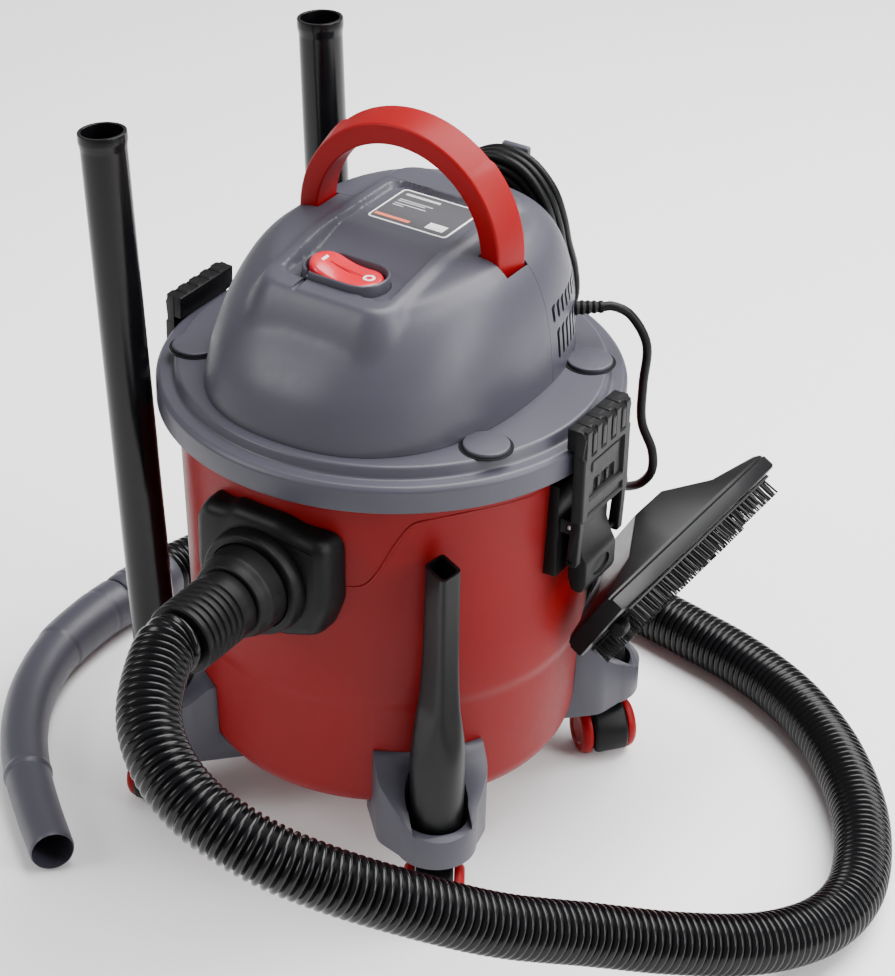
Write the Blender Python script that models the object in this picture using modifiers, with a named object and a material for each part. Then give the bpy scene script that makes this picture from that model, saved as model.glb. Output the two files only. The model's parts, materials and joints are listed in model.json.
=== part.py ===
"""Wet-and-dry shop vacuum: drum on four casters, clamped-on motor head, hose, tubes and tools.

Metres, +Z up, floor at z = 0, hose inlet facing -Y. Every dimension below is measured from the drum's
own axis; the whole machine hangs on one empty that moves it so that the world origin is the middle of
the floor rectangle it covers.
"""

import bmesh
import bpy
import numpy as np
from math import atan2, cos, pi, radians, sin
from mathutils import Matrix, Vector

# ---------------------------------------------------------------- driving dimensions
DRUM_AXIS = (0.0502, 0.0121, 0.0)     # drum axis in the world, see the end of the file
GAP = 0.0003                        # between pieces that touch
STEPS = 48                          # facets round the large turned pieces

DRUM_FLOOR, DRUM_RIM = 0.0657, 0.3425
DRUM_R_BOTTOM, DRUM_R_STEP, DRUM_R_TOP = 0.1393, 0.1465, 0.1550
DRUM_STEP_Z = 0.162
DRUM_WALL = 0.0030

FLANGE_R, FLANGE_BOTTOM, FLANGE_TOP = 0.1700, 0.3380, 0.3580
DECK_R, DECK_TOP = 0.1570, 0.3665
THROAT_R = 0.0880                   # opening in the lid under the motor

COVER_BASE = DECK_TOP + GAP
COVER_HALF_X, COVER_FRONT, COVER_BACK = 0.1170, 0.1470, 0.1500
COVER_WALL = 0.0026
SEAM_Y = 0.0305                     # parting of the front and the rear cover, beside the tongue
TONGUE_HALF, TONGUE_BACK = 0.0521, 0.0690   # the front cover's tongue under the label

ARCH_R_OUT, ARCH_R_IN = 0.0900, 0.0685
ARCH_Z, ARCH_Y, ARCH_WIDE = 0.4600, 0.0170, 0.0260
ARCH_FOOT_Z = 0.4370

SWITCH_AT = Vector((0.0, -0.0600, 0.4560))
SWITCH_LONG, SWITCH_WIDE = 0.0660, 0.0400
LABEL_AT, LABEL_SIZE = Vector((0.0, 0.0400, 0.4660)), (0.0660, 0.0510, 0.0008)

INLET_Z = 0.2660
HOSE_R = 0.0219
TUBE_R, TUBE_WALL, TUBE_LONG = 0.0165, 0.0018, 0.4800
TOOL_R = 0.0190                     # socket end of the tools
CORD_R = 0.0035

FOOT_RHO = 0.1710                   # caster and tool cup, from the drum axis
FOOT_BOTTOM, FOOT_TOP, CUP_FLOOR, CUP_LIP, CUP_R = 0.0520, 0.1200, 0.0630, 0.0790, 0.0230
WHEEL_R, WHEEL_WIDE, CASTER_TRAIL = 0.0205, 0.0080, 0.0120

LATCH_U = 0.1710                    # inner face of the clasp, from the drum axis
PIVOT_U, PIVOT_Z = 0.1660, 0.2920   # lever's pin on the bracket
CLASP_U, CLASP_Z = 0.1720, 0.2700   # clasp's pin on the lever
LEVER_TIP_Z = 0.2370

HEAD_CORNER = Vector((0.1865, 0.0000, 0.2295))   # near upper corner of the floor brush
HEAD_LONG, HEAD_DEEP, HEAD_LIP = 0.2400, 0.0650, 0.0160
HEAD_OUT = Vector((0.86, 0.0, -0.51)).normalized()   # the way the bristles point
HEAD_IN = Vector((-0.51, 0.0, -0.86)).normalized()   # across the head, towards the drum

# ---------------------------------------------------------------- finishes
FINISHES = {
    "drum_red": ((0.235, 0.018, 0.021), 0.45),
    "handle_red": ((0.50, 0.016, 0.022), 0.40),
    "slate_grey": ((0.100, 0.100, 0.122), 0.50),
    "matt_black": ((0.012, 0.012, 0.013), 0.42),
    "gloss_black": ((0.006, 0.006, 0.007), 0.16),
    "bristle": ((0.010, 0.010, 0.011), 0.80),
    "foam": ((0.020, 0.020, 0.022), 0.95),
    "seal": ((0.015, 0.015, 0.015), 0.85),
    "plate": ((0.110, 0.108, 0.115), 0.35),
    "steel": ((0.55, 0.56, 0.58), 0.30),
}
METALLIC = ("steel",)


def finish(name):
    """The Principled material of one finish, made once."""
    known = bpy.data.materials.get(name)
    if known:
        return known
    colour, roughness = FINISHES[name]
    material = bpy.data.materials.new(name)
    material.use_nodes = True
    shader = material.node_tree.nodes["Principled BSDF"]
    shader.inputs["Base Color"].default_value = (*colour, 1.0)
    shader.inputs["Roughness"].default_value = roughness
    shader.inputs["Metallic"].default_value = 1.0 if name in METALLIC else 0.0
    material.diffuse_color = (*colour, 1.0)
    return material


# ---------------------------------------------------------------- scene and helpers
for old in list(bpy.data.objects):
    bpy.data.objects.remove(old)

PARTS = bpy.data.collections.new("shop_vacuum")
CUTTERS = bpy.data.collections.new("cutters")
for collection in (PARTS, CUTTERS):
    bpy.context.scene.collection.children.link(collection)
CUTTERS.hide_render = True

DRUM = bpy.data.objects.new("drum_axis", None)
PARTS.objects.link(DRUM)
DRUM.location = DRUM_AXIS


def frame_at(origin, z_axis=(0, 0, 1), x_hint=(1, 0, 0)):
    """Matrix of a local frame whose Z lies along z_axis and whose X is nearest to x_hint."""
    z = Vector(z_axis).normalized()
    x = Vector(x_hint) - Vector(x_hint).dot(z) * z
    if x.length < 1e-6:
        x = Vector((0, 1, 0)) - Vector((0, 1, 0)).dot(z) * z
    x.normalize()
    rotation = Matrix((x, z.cross(x), z)).transposed().to_4x4()
    return Matrix.Translation(Vector(origin)) @ rotation


def add(name, mesh, look, matrix=None, smooth_angle=35):
    """A named part from a mesh, standing on the drum's axis frame."""
    part = bpy.data.objects.new(name, mesh)
    PARTS.objects.link(part)
    part.parent = DRUM
    part.matrix_local = matrix or Matrix()
    mesh.materials.clear()
    mesh.materials.append(finish(look))
    mesh.shade_smooth()
    mesh.set_sharp_from_angle(angle=radians(smooth_angle))
    return part


def cutter_from(mesh, matrix=None):
    """A hidden solid that a Boolean uses."""
    tool = bpy.data.objects.new("cutter", mesh)
    CUTTERS.objects.link(tool)
    tool.parent = DRUM
    tool.matrix_local = matrix or Matrix()
    tool.hide_render = True
    tool.display_type = "WIRE"
    return tool


def boolean(part, tool, operation="DIFFERENCE"):
    """Cuts the tool from the part, or joins it."""
    step = part.modifiers.new(operation.lower(), "BOOLEAN")
    step.operation = operation
    step.object = tool
    step.solver = "EXACT"
    return part


def mesh_of(build):
    """A mesh made by build(bm)."""
    mesh = bpy.data.meshes.new("shape")
    bm = bmesh.new()
    build(bm)
    bmesh.ops.recalc_face_normals(bm, faces=bm.faces)
    bm.to_mesh(mesh)
    bm.free()
    return mesh


def box_mesh(low, high):
    """A box between two corners."""
    low, high = Vector(low), Vector(high)
    size = high - low
    place = Matrix.Translation((low + high) / 2) @ Matrix.Diagonal((*size, 1.0))
    return mesh_of(lambda bm: bmesh.ops.create_cube(bm, size=1.0, matrix=place))


def rod_mesh(radius, low, high, sides=24, radius_top=None):
    """A cylinder or cone along local Z from low to high."""
    top = radius if radius_top is None else radius_top
    place = Matrix.Translation((0, 0, (low + high) / 2))
    return mesh_of(lambda bm: bmesh.ops.create_cone(
        bm, cap_ends=True, segments=sides, radius1=radius, radius2=top, depth=high - low, matrix=place))


def outline_mesh(points, low, high):
    """A flat outline in local XY, given thickness from low to high along local Z."""
    def build(bm):
        ring = [bm.verts.new((x, y, low)) for x, y in points]
        edges = [bm.edges.new((a, b)) for a, b in zip(ring, ring[1:] + ring[:1])]
        face = bmesh.ops.edgenet_fill(bm, edges=edges)["faces"]
        grown = bmesh.ops.extrude_face_region(bm, geom=face)["geom"]
        moved = [item for item in grown if isinstance(item, bmesh.types.BMVert)]
        bmesh.ops.translate(bm, verts=moved, vec=(0, 0, high - low))
    return mesh_of(build)


def loft_mesh(rings):
    """A closed solid through rings of equal point count, capped at both ends."""
    def build(bm):
        rows = [[bm.verts.new(point) for point in ring] for ring in rings]
        count = len(rows[0])
        for lower, upper in zip(rows, rows[1:]):
            for i in range(count):
                j = (i + 1) % count
                bm.faces.new((lower[i], lower[j], upper[j], upper[i]))
        bm.faces.new(reversed(rows[0]))
        bm.faces.new(rows[-1])
    return mesh_of(build)


def turned(name, profile, look, matrix=None, steps=STEPS, loop=False):
    """A profile of (radius, height) pairs, outer side running down, turned about local Z."""
    mesh = bpy.data.meshes.new(name)
    points = [(radius, 0.0, height) for radius, height in profile]
    edges = [(i, i + 1) for i in range(len(points) - 1)]
    if loop:
        edges.append((len(points) - 1, 0))
    mesh.from_pydata(points, edges, [])
    part = add(name, mesh, look, matrix)
    screw = part.modifiers.new("turn", "SCREW")
    screw.steps = screw.render_steps = steps
    screw.use_merge_vertices = True
    screw.merge_threshold = 0.00001
    screw.use_smooth_shade = True
    return part


def arc(centre, radius, start, end, count):
    """Points of a circular arc, angles in degrees."""
    return [(centre[0] + radius * cos(radians(a)), centre[1] + radius * sin(radians(a)))
            for a in np.linspace(start, end, count)]


def rounded_box(half_x, half_y, radius, count=4, centre=(0.0, 0.0)):
    """Outline of a rectangle with round corners."""
    corners = ((1, 1, 0), (-1, 1, 90), (-1, -1, 180), (1, -1, 270))
    points = []
    for sx, sy, start in corners:
        middle = (centre[0] + sx * (half_x - radius), centre[1] + sy * (half_y - radius))
        points += arc(middle, radius, start, start + 90, count)
    return points


def smooth_route(points, spacing, skip=0):
    """Points at even spacing on a Catmull-Rom curve through the route's own points."""
    knots = np.array(points, float)
    ends = np.vstack([2 * knots[0] - knots[1], knots, 2 * knots[-1] - knots[-2]])
    t = np.linspace(0, 1, 24, endpoint=False)[:, None]
    fine = []
    for a, b, c, d in zip(ends, ends[1:], ends[2:], ends[3:]):
        fine.append(0.5 * (2 * b + (c - a) * t + (2 * a - 5 * b + 4 * c - d) * t**2
                           + (3 * b - a - 3 * c + d) * t**3))
    fine = np.vstack(fine + [knots[-1:]])
    along = np.concatenate([[0], np.cumsum(np.linalg.norm(np.diff(fine, axis=0), axis=1))])
    count = max(int(round(along[-1] / spacing)), 2)
    even = np.linspace(0, along[-1], count + 1)
    return np.stack([np.interp(even, along, fine[:, k]) for k in range(3)], axis=1)


def tube(name, points, radius, look, sides=2, keep_mesh=False):
    """A round bar along a POLY spline, closed by its caps."""
    curve = bpy.data.curves.new(name, "CURVE")
    curve.dimensions = "3D"
    curve.bevel_depth = radius
    curve.bevel_resolution = sides
    curve.use_fill_caps = True
    spline = curve.splines.new("POLY")
    spline.points.add(len(points) - 1)
    flat = np.hstack([np.array(points, float), np.ones((len(points), 1))])
    spline.points.foreach_set("co", flat.ravel())
    part = bpy.data.objects.new(name, curve)
    PARTS.objects.link(part)
    part.parent = DRUM
    curve.materials.append(finish(look))
    if not keep_mesh:
        return part
    bpy.context.view_layer.update()
    graph = bpy.context.evaluated_depsgraph_get()
    mesh = bpy.data.meshes.new_from_object(part.evaluated_get(graph))
    bpy.data.objects.remove(part)
    bm = bmesh.new()
    bm.from_mesh(mesh)
    bmesh.ops.remove_doubles(bm, verts=bm.verts, dist=0.00001)
    bmesh.ops.recalc_face_normals(bm, faces=bm.faces)
    bm.to_mesh(mesh)
    bm.free()
    return add(name, mesh, look)


def spin_z(degrees):
    """Turn about the drum's axis; 0 is the front (-Y), positive towards +X."""
    return Matrix.Rotation(radians(degrees), 4, "Z")


def around(rho, degrees, z=0.0):
    """The point at distance rho from the drum axis, in the direction given as for spin_z."""
    return Vector((rho * sin(radians(degrees)), -rho * cos(radians(degrees)), z))


# ---------------------------------------------------------------- drum
def drum_skin(grown=0.0):
    """The drum's outer outline from rim to floor: drafted wall, soft step, drafted foot."""
    g = grown
    return [(DRUM_R_TOP + g, DRUM_RIM + g), (DRUM_R_STEP + 0.0018 + g, DRUM_STEP_Z + 0.002),
            (DRUM_R_STEP - 0.0005 + g, DRUM_STEP_Z - 0.006), (DRUM_R_BOTTOM + 0.0035 + g, DRUM_FLOOR + 0.012),
            (DRUM_R_BOTTOM - 0.004 + g, DRUM_FLOOR - g), (0.0, DRUM_FLOOR - g)]


def drum_cutter():
    """The drum as a plain solid a gap larger, to seat its neighbours against."""
    profile = [(0.0, DRUM_RIM + 0.05), (DRUM_R_TOP + GAP, DRUM_RIM + 0.05)] + drum_skin(GAP)
    solid = turned("drum_seat", profile, "drum_red")
    PARTS.objects.unlink(solid)
    CUTTERS.objects.link(solid)
    solid.hide_render = True
    solid.display_type = "WIRE"
    return solid


def make_drum():
    wall = DRUM_WALL
    inner = [(0.0, DRUM_FLOOR + wall), (DRUM_R_BOTTOM - 0.006, DRUM_FLOOR + wall),
             (DRUM_R_BOTTOM + 0.0005, DRUM_FLOOR + 0.014), (DRUM_R_STEP - 0.0035, DRUM_STEP_Z - 0.006),
             (DRUM_R_STEP - 0.0012, DRUM_STEP_Z + 0.002), (DRUM_R_TOP - wall, DRUM_RIM)]
    drum = turned("drum", inner + drum_skin(), "drum_red")
    bore = rod_mesh(0.0225, 0.12, 0.19, 24)
    return boolean(drum, cutter_from(bore, frame_at((0, 0, INLET_Z), (0, -1, 0))))


# ---------------------------------------------------------------- lid, seal and works
def make_lid():
    skirt_in, skirt_out, under = 0.1465, 0.1495, 0.3465
    profile = [
        (THROAT_R, DECK_TOP), (DECK_R - 0.002, DECK_TOP), (DECK_R + 0.001, FLANGE_TOP),
        (FLANGE_R - 0.003, FLANGE_TOP), (FLANGE_R, FLANGE_TOP - 0.003), (FLANGE_R, FLANGE_BOTTOM),
        (0.1600, FLANGE_BOTTOM), (0.1600, under), (skirt_out, under), (skirt_out, 0.3270),
        (skirt_in, 0.3270), (skirt_in, 0.3625), (THROAT_R + 0.004, 0.3625), (THROAT_R + 0.004, 0.3400),
        (THROAT_R, 0.3400)]
    lid = turned("lid", profile, "slate_grey", loop=True)
    for degrees in (-120, -60, 60, 120):
        boss = rod_mesh(0.0170, 0.3560, 0.3690, 16)
        boolean(lid, cutter_from(boss, Matrix.Translation(around(0.1480, degrees))), "UNION")
    return lid


def make_lid_seal():
    low, high = DRUM_RIM + GAP, 0.3465 - GAP
    return turned("lid_seal", [(0.1523, high), (0.1556, high), (0.1556, low), (0.1523, low)], "seal", loop=True)


def make_works():
    """Blower housing, fan, float cage with its ball, and the foam sleeve, all under the covers."""
    turned("motor_housing", [
        (0.0, 0.4400), (0.0380, 0.4400), (0.0460, 0.4330), (0.0470, 0.3740), (0.0800, 0.3700),
        (0.0800, 0.3460), (0.0260, 0.3460), (0.0260, 0.3490), (0.0745, 0.3490), (0.0745, 0.3660),
        (0.0, 0.3660)], "matt_black", steps=24)
    fan = turned("impeller", [(0.0, 0.3600), (0.0100, 0.3600), (0.0120, 0.3530), (0.0680, 0.3530),
                              (0.0680, 0.3515), (0.0, 0.3515)], "steel", steps=24)
    for k in range(8):
        blade = box_mesh((0.010, -0.0007, 0.3520), (0.066, 0.0007, 0.3610))
        boolean(fan, cutter_from(blade, Matrix.Rotation(k * pi / 4, 4, "Z")), "UNION")
    cage = turned("float_cage", [
        (0.0, 0.2180), (0.0380, 0.2180), (0.0380, 0.3455), (0.0840, 0.3455), (0.0840, 0.3425),
        (0.0410, 0.3425), (0.0410, 0.2150), (0.0, 0.2150)], "matt_black", steps=24)
    for degrees in (0, 60, 120):
        slot = box_mesh((-0.060, -0.0110, 0.2380), (0.060, 0.0110, 0.3250))
        boolean(cage, cutter_from(slot, Matrix.Rotation(radians(degrees), 4, "Z")))
    turned("filter_sleeve", [(0.0415, 0.3415), (0.0580, 0.3415), (0.0580, 0.2190), (0.0415, 0.2190)],
           "foam", steps=24, loop=True)
    ball = mesh_of(lambda bm: bmesh.ops.create_uvsphere(bm, u_segments=14, v_segments=8, radius=0.0240))
    add("float_ball", ball, "matt_black", Matrix.Translation((0, 0, 0.2424)))


# ---------------------------------------------------------------- motor covers
# One row per height of the shell: inset from the base outline at the front, side and back, and height.
SHELL_ROWS = [
    (0.0000, 0.0000, 0.0000, -0.0060, -0.0060, -0.0060),
    (0.0035, 0.0015, 0.0010, 0.0130, 0.0180, 0.0200),
    (0.0110, 0.0045, 0.0030, 0.0310, 0.0380, 0.0420),
    (0.0230, 0.0100, 0.0070, 0.0470, 0.0600, 0.0620),
    (0.0380, 0.0190, 0.0150, 0.0620, 0.0790, 0.0790),
    (0.0530, 0.0300, 0.0270, 0.0780, 0.0910, 0.0900),
    (0.0620, 0.0420, 0.0450, 0.0840, 0.0990, 0.0960),
    (0.1080, 0.0700, 0.0850, 0.0850, 0.0985, 0.0985),
]


def shell_rings(count, shrink=0.0):
    """Rings of the cover's surface: a rounded-rectangle outline that leans in more at the front."""
    angles = np.arange(count) * 2 * pi / count
    c, s = np.cos(angles), np.sin(angles)
    power = 2.35
    reach_y = np.where(s < 0, COVER_FRONT, COVER_BACK)
    scale = (np.abs(c / COVER_HALF_X) ** power + np.abs(s / reach_y) ** power) ** (-1 / power)
    front, back = np.clip(-s, 0, 1) ** 2, np.clip(s, 0, 1) ** 2
    side = 1 - front - back
    rings = []
    for in_front, in_side, in_back, up_front, up_side, up_back in SHELL_ROWS:
        inset = in_front * front + in_side * side + in_back * back + shrink
        height = up_front * front + up_side * side + up_back * back
        reach = scale - inset
        rings.append(np.stack([reach * c, reach * s, COVER_BASE + height], axis=1))
    return rings


def shell_mesh():
    """The open shell, with a flat-topped crown."""
    def build(bm):
        count = 40
        rows = [[bm.verts.new(p) for p in ring] for ring in shell_rings(count)]
        for lower, upper in zip(rows, rows[1:]):
            for i in range(count):
                j = (i + 1) % count
                bm.faces.new((lower[i], lower[j], upper[j], upper[i]))
        crown = bm.verts.new((0, 0, COVER_BASE + 0.0990))
        for i in range(count):
            bm.faces.new((rows[-1][i], rows[-1][(i + 1) % count], crown))
    return mesh_of(build)


def seam_plan(far, gap=0.0):
    """Plan of the half-plane beyond the covers' parting line, which steps back round the tongue."""
    half, back = TONGUE_HALF + gap, TONGUE_BACK + gap
    line = SEAM_Y + gap
    return [(-0.3, far), (-0.3, line), (-half, line), (-half, back), (half, back), (half, line), (0.3, line),
            (0.3, far)]


def make_covers():
    """Front and rear cover: one shell parted just behind the carry handle and the label."""
    big = 0.3
    sides = {"front_cover": seam_plan(big), "rear_cover": seam_plan(-big, GAP)}
    covers = {}
    for name, plan in sides.items():
        cover = add(name, shell_mesh(), "slate_grey")
        wall = cover.modifiers.new("wall", "SOLIDIFY")
        wall.thickness = COVER_WALL
        wall.offset = -1
        boolean(cover, cutter_from(outline_mesh(plan, 0.2, 0.7)))
        boolean(cover, cutter_from(box_mesh((-big, -big, 0.2), (big, big, COVER_BASE))))
        covers[name] = cover
    leg, half_leg = (ARCH_R_OUT + ARCH_R_IN) / 2, (ARCH_R_OUT - ARCH_R_IN) / 2 + 0.0014
    for side in (-1, 1):
        foot_low = (side * leg - half_leg, ARCH_Y - ARCH_WIDE / 2 - 0.0005, ARCH_FOOT_Z - 0.0035)
        foot_high = (side * leg + half_leg, SEAM_Y + 0.001, 0.50)
        boolean(covers["front_cover"], cutter_from(box_mesh(foot_low, foot_high)))
    hole = obround(SWITCH_LONG / 2 + GAP, SWITCH_WIDE / 2 + GAP)
    pocket = outline_mesh(hole, -0.03, 0.03)
    boolean(covers["front_cover"], cutter_from(pocket, Matrix.Translation(SWITCH_AT)))
    out, exit_at = relief_axis()
    gland = rod_mesh(0.0065 + GAP, -0.012, 0.030, 20)
    boolean(covers["rear_cover"], cutter_from(gland, frame_at(exit_at, out)))
    for side in (-1, 1):
        for row in range(5):
            middle = Vector((side * 0.105, 0.0367 + row * 0.0113, 0.3972))
            slot = box_mesh(middle - Vector((0.025, 0.002, 0.012)), middle + Vector((0.025, 0.002, 0.012)))
            boolean(covers["rear_cover"], cutter_from(slot))
    bend = [(0.1290, 0.4300), (0.1692, 0.4300), (0.1692, 0.4690), (0.1634, 0.4690), (0.1634, 0.4370),
            (0.1290, 0.4370)]
    tab = outline_mesh(bend, -0.0115, 0.0115)
    boolean(covers["rear_cover"], cutter_from(tab, frame_at((0, 0, 0), (1, 0, 0), (0, 1, 0))), "UNION")
    return covers


def obround(half_long, half_wide, count=9):
    """Outline with straight sides and round ends, long way along X."""
    reach = half_long - half_wide
    return arc((reach, 0), half_wide, -90, 90, count) + arc((-reach, 0), half_wide, 90, 270, count)


# ---------------------------------------------------------------- handle, switch, label
def make_handle():
    outer = arc((0, 0), ARCH_R_OUT, 0, 180, 21)
    inner = arc((0, 0), ARCH_R_IN, 180, 0, 17)
    drop = ARCH_FOOT_Z - ARCH_Z
    points = outer + [(-ARCH_R_OUT, drop), (-ARCH_R_IN, drop)] + inner + [(ARCH_R_IN, drop), (ARCH_R_OUT, drop)]
    mesh = outline_mesh(points, -ARCH_WIDE / 2, ARCH_WIDE / 2)
    handle = add("carry_handle", mesh, "handle_red", frame_at((0, ARCH_Y, ARCH_Z), (0, -1, 0)))
    soft = handle.modifiers.new("edges", "BEVEL")
    soft.width, soft.segments, soft.limit_method = 0.0030, 1, "ANGLE"
    soft.angle_limit = radians(50)


def make_switch():
    place = Matrix.Translation(SWITCH_AT)
    body = add("switch_body", outline_mesh(obround(SWITCH_LONG / 2, SWITCH_WIDE / 2), -0.0120, 0.0060),
               "slate_grey", place)
    well = outline_mesh(obround(SWITCH_LONG / 2 - 0.003, SWITCH_WIDE / 2 - 0.003), -0.0090, 0.0200)
    boolean(body, cutter_from(well, place))
    half, thick, lean = 0.0285, 0.0070, radians(8)
    side_view = [(-half, 0.0000), (0.0, -0.0062), (half, 0.0000), (half, thick), (0.0, thick - 0.0025),
                 (-half, thick)]
    lens = obround(half, 0.0155)
    rocker = add("switch_rocker", outline_mesh(lens, -0.0060, 0.0080), "handle_red",
                 place @ Matrix.Rotation(lean, 4, "Y"))
    keep = outline_mesh(side_view, -0.0200, 0.0200)
    boolean(rocker, cutter_from(keep, place @ Matrix.Rotation(lean, 4, "Y") @ frame_at((0, 0, 0), (0, -1, 0))),
            "INTERSECT")


def make_label():
    half_x, half_y, thick = LABEL_SIZE[0] / 2, LABEL_SIZE[1] / 2, LABEL_SIZE[2]
    add("rating_plate", outline_mesh(rounded_box(half_x, half_y, 0.004), 0.0, thick), "plate",
        Matrix.Translation(LABEL_AT))


# ---------------------------------------------------------------- inlet, hose and grip
def make_inlet():
    """Housing plate with its collar, and the bayonet end of the hose."""
    outline = [(-0.047, 0.047), (-0.056, 0.034), (-0.056, -0.010), (-0.048, -0.034), (-0.020, -0.044),
               (0.020, -0.044), (0.048, -0.034), (0.056, -0.010), (0.056, 0.036), (0.050, 0.045),
               (0.030, 0.047), (0.016, 0.052), (-0.022, 0.052), (-0.030, 0.047)]
    place = frame_at((0, 0, INLET_Z), (0, -1, 0), (1, 0, 0))
    housing = add("inlet_housing", outline_mesh(outline, 0.135, 0.1690), "matt_black", place)
    boolean(housing, cutter_from(rod_mesh(0.0385, 0.140, 0.1800, 36), place), "UNION")
    boolean(housing, cutter_from(rod_mesh(0.0335, 0.1540, 0.20, 36), place))
    boolean(housing, cutter_from(rod_mesh(0.0240, 0.10, 0.20, 24), place))
    boolean(housing, drum_cutter())
    profile = [(0.0185, 0.2050), (0.0300, 0.2050), (0.0320, 0.2000), (0.0330, 0.1700), (0.0330, 0.1545),
               (0.0220, 0.1545), (0.0220, 0.1380), (0.0185, 0.1380)]
    turned("hose_connector", profile, "matt_black", place, 28, loop=True)
    rings = [(0.0185, 0.2600), (0.0250, 0.2600)]
    for k in range(3):
        base = 0.2560 - k * 0.0160
        rings += [(0.0262, base), (0.0262, base - 0.0060), (0.0245, base - 0.0070), (0.0245, base - 0.0150)]
    rings += [(0.0245, 0.2054), (0.0185, 0.2054)]
    turned("hose_cuff", rings, "matt_black", place, 24, loop=True)


HOSE_ROUTE = [
    (0.000, -0.2603, 0.2660), (0.001, -0.2830, 0.2650), (0.012, -0.3080, 0.2600), (0.040, -0.3420, 0.2470),
    (0.080, -0.3590, 0.2300), (0.125, -0.3560, 0.2120), (0.166, -0.3360, 0.1910), (0.209, -0.2980, 0.1620),
    (0.249, -0.2490, 0.1280), (0.288, -0.1920, 0.0975), (0.330, -0.1370, 0.0700), (0.366, -0.0820, 0.0480),
    (0.386, -0.0250, 0.0320), (0.388, 0.0270, 0.0250), (0.373, 0.0770, 0.0225), (0.344, 0.1290, 0.0225),
    (0.297, 0.1830, 0.0225), (0.244, 0.2230, 0.0225), (0.188, 0.2480, 0.0225), (0.132, 0.2620, 0.0225),
    (0.060, 0.2750, 0.0225), (-0.020, 0.2800, 0.0225), (-0.100, 0.2700, 0.0225), (-0.170, 0.2420, 0.0225),
    (-0.228, 0.1980, 0.0225), (-0.266, 0.1480, 0.0225), (-0.282, 0.0900, 0.0225)]
GRIP_ROUTE = [
    (-0.2905, 0.0340, 0.0225), (-0.2925, 0.0000, 0.0220), (-0.2880, -0.0500, 0.0215), (-0.2700, -0.1020, 0.0210),
    (-0.2420, -0.1480, 0.0200), (-0.2080, -0.1860, 0.0190), (-0.1720, -0.2180, 0.0185),
    (-0.1320, -0.2500, 0.0185)]


def make_hose():
    start, end = Vector(HOSE_ROUTE[0]), Vector(HOSE_ROUTE[-1])
    out = (Vector(GRIP_ROUTE[0]) - end).normalized()
    middle = smooth_route(HOSE_ROUTE, 0.030)[2:-2]
    path = [start, start + Vector((0, -0.018, 0)), *middle, end - 0.018 * out, end]
    tube("hose", path, HOSE_R, "gloss_black", 3)
    profile = [(0.0, 0.0550), (0.0205, 0.0550), (0.0220, 0.0500), (0.0222, 0.0100), (0.0215, 0.0003), (0.0, 0.0003)]
    turned("handle_cuff", profile, "slate_grey", frame_at(end, out), 24)


def make_grip():
    """The bent hand tube: thick where it is held, slimmer at its open end, lying on its side."""
    route = smooth_route(GRIP_ROUTE, 0.022)
    count, sides = len(route), 16
    lowest = np.linspace(0.0212, TUBE_R + 0.0016, count)
    tangent = np.gradient(route, axis=0)
    tangent[:, 2] = 0
    tangent /= np.linalg.norm(tangent, axis=1)[:, None]
    across = np.stack([-tangent[:, 1], tangent[:, 0], np.zeros(count)], axis=1)
    turn = np.arange(sides) * 2 * pi / sides
    centre = route.copy()
    centre[:, 2] = lowest + 0.0004
    rings = []
    for k in range(count):
        ring = (centre[k] + lowest[k] * (np.cos(turn)[:, None] * across[k]
                                         + np.sin(turn)[:, None] * np.array([0, 0, 1])))
        rings.append([tuple(p) for p in ring])
    grip = add("grip_handle", loft_mesh(rings), "slate_grey")
    mouth, inward = Vector(centre[-1]), Vector(centre[-3]) - Vector(centre[-1])
    boolean(grip, cutter_from(rod_mesh(TUBE_R - 0.0008, -0.01, 0.0500, 16), frame_at(mouth, inward)))


# ---------------------------------------------------------------- power cord
def relief_axis():
    """Direction of the cord's strain relief and the point where it passes the rear cover."""
    return Vector((0.78, 0.62, 0.0)).normalized(), Vector((0.0900, 0.0880, 0.3930))


CORD_ROUTE_AFTER = [
    (0.1330, 0.1190, 0.3840), (0.1420, 0.1220, 0.3600), (0.1410, 0.1210, 0.3300), (0.1410, 0.1200, 0.3000),
    (0.1560, 0.1200, 0.2780), (0.1570, 0.1200, 0.2600), (0.1450, 0.1220, 0.2480), (0.1300, 0.1280, 0.2400),
    (0.1200, 0.1400, 0.2250), (0.1130, 0.1580, 0.2200), (0.0980, 0.1730, 0.2330), (0.0790, 0.1810, 0.2580),
    (0.0600, 0.1840, 0.2850)]
HANK_X, HANK_HALF_WIDE, HANK_ROPE, HANK_HALF_THICK = 0.0, 0.0465, 0.0290, 0.0108
HANK_LOW, HANK_HIGH = 0.3010, 0.4710
HANK_PATH = [(0.1494, 0.4790), (0.1498, 0.4500), (0.1512, 0.4390), (0.1560, 0.4270), (0.1640, 0.4020),
             (0.1750, 0.3800), (0.1835, 0.3580), (0.1840, 0.2850)]


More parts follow.
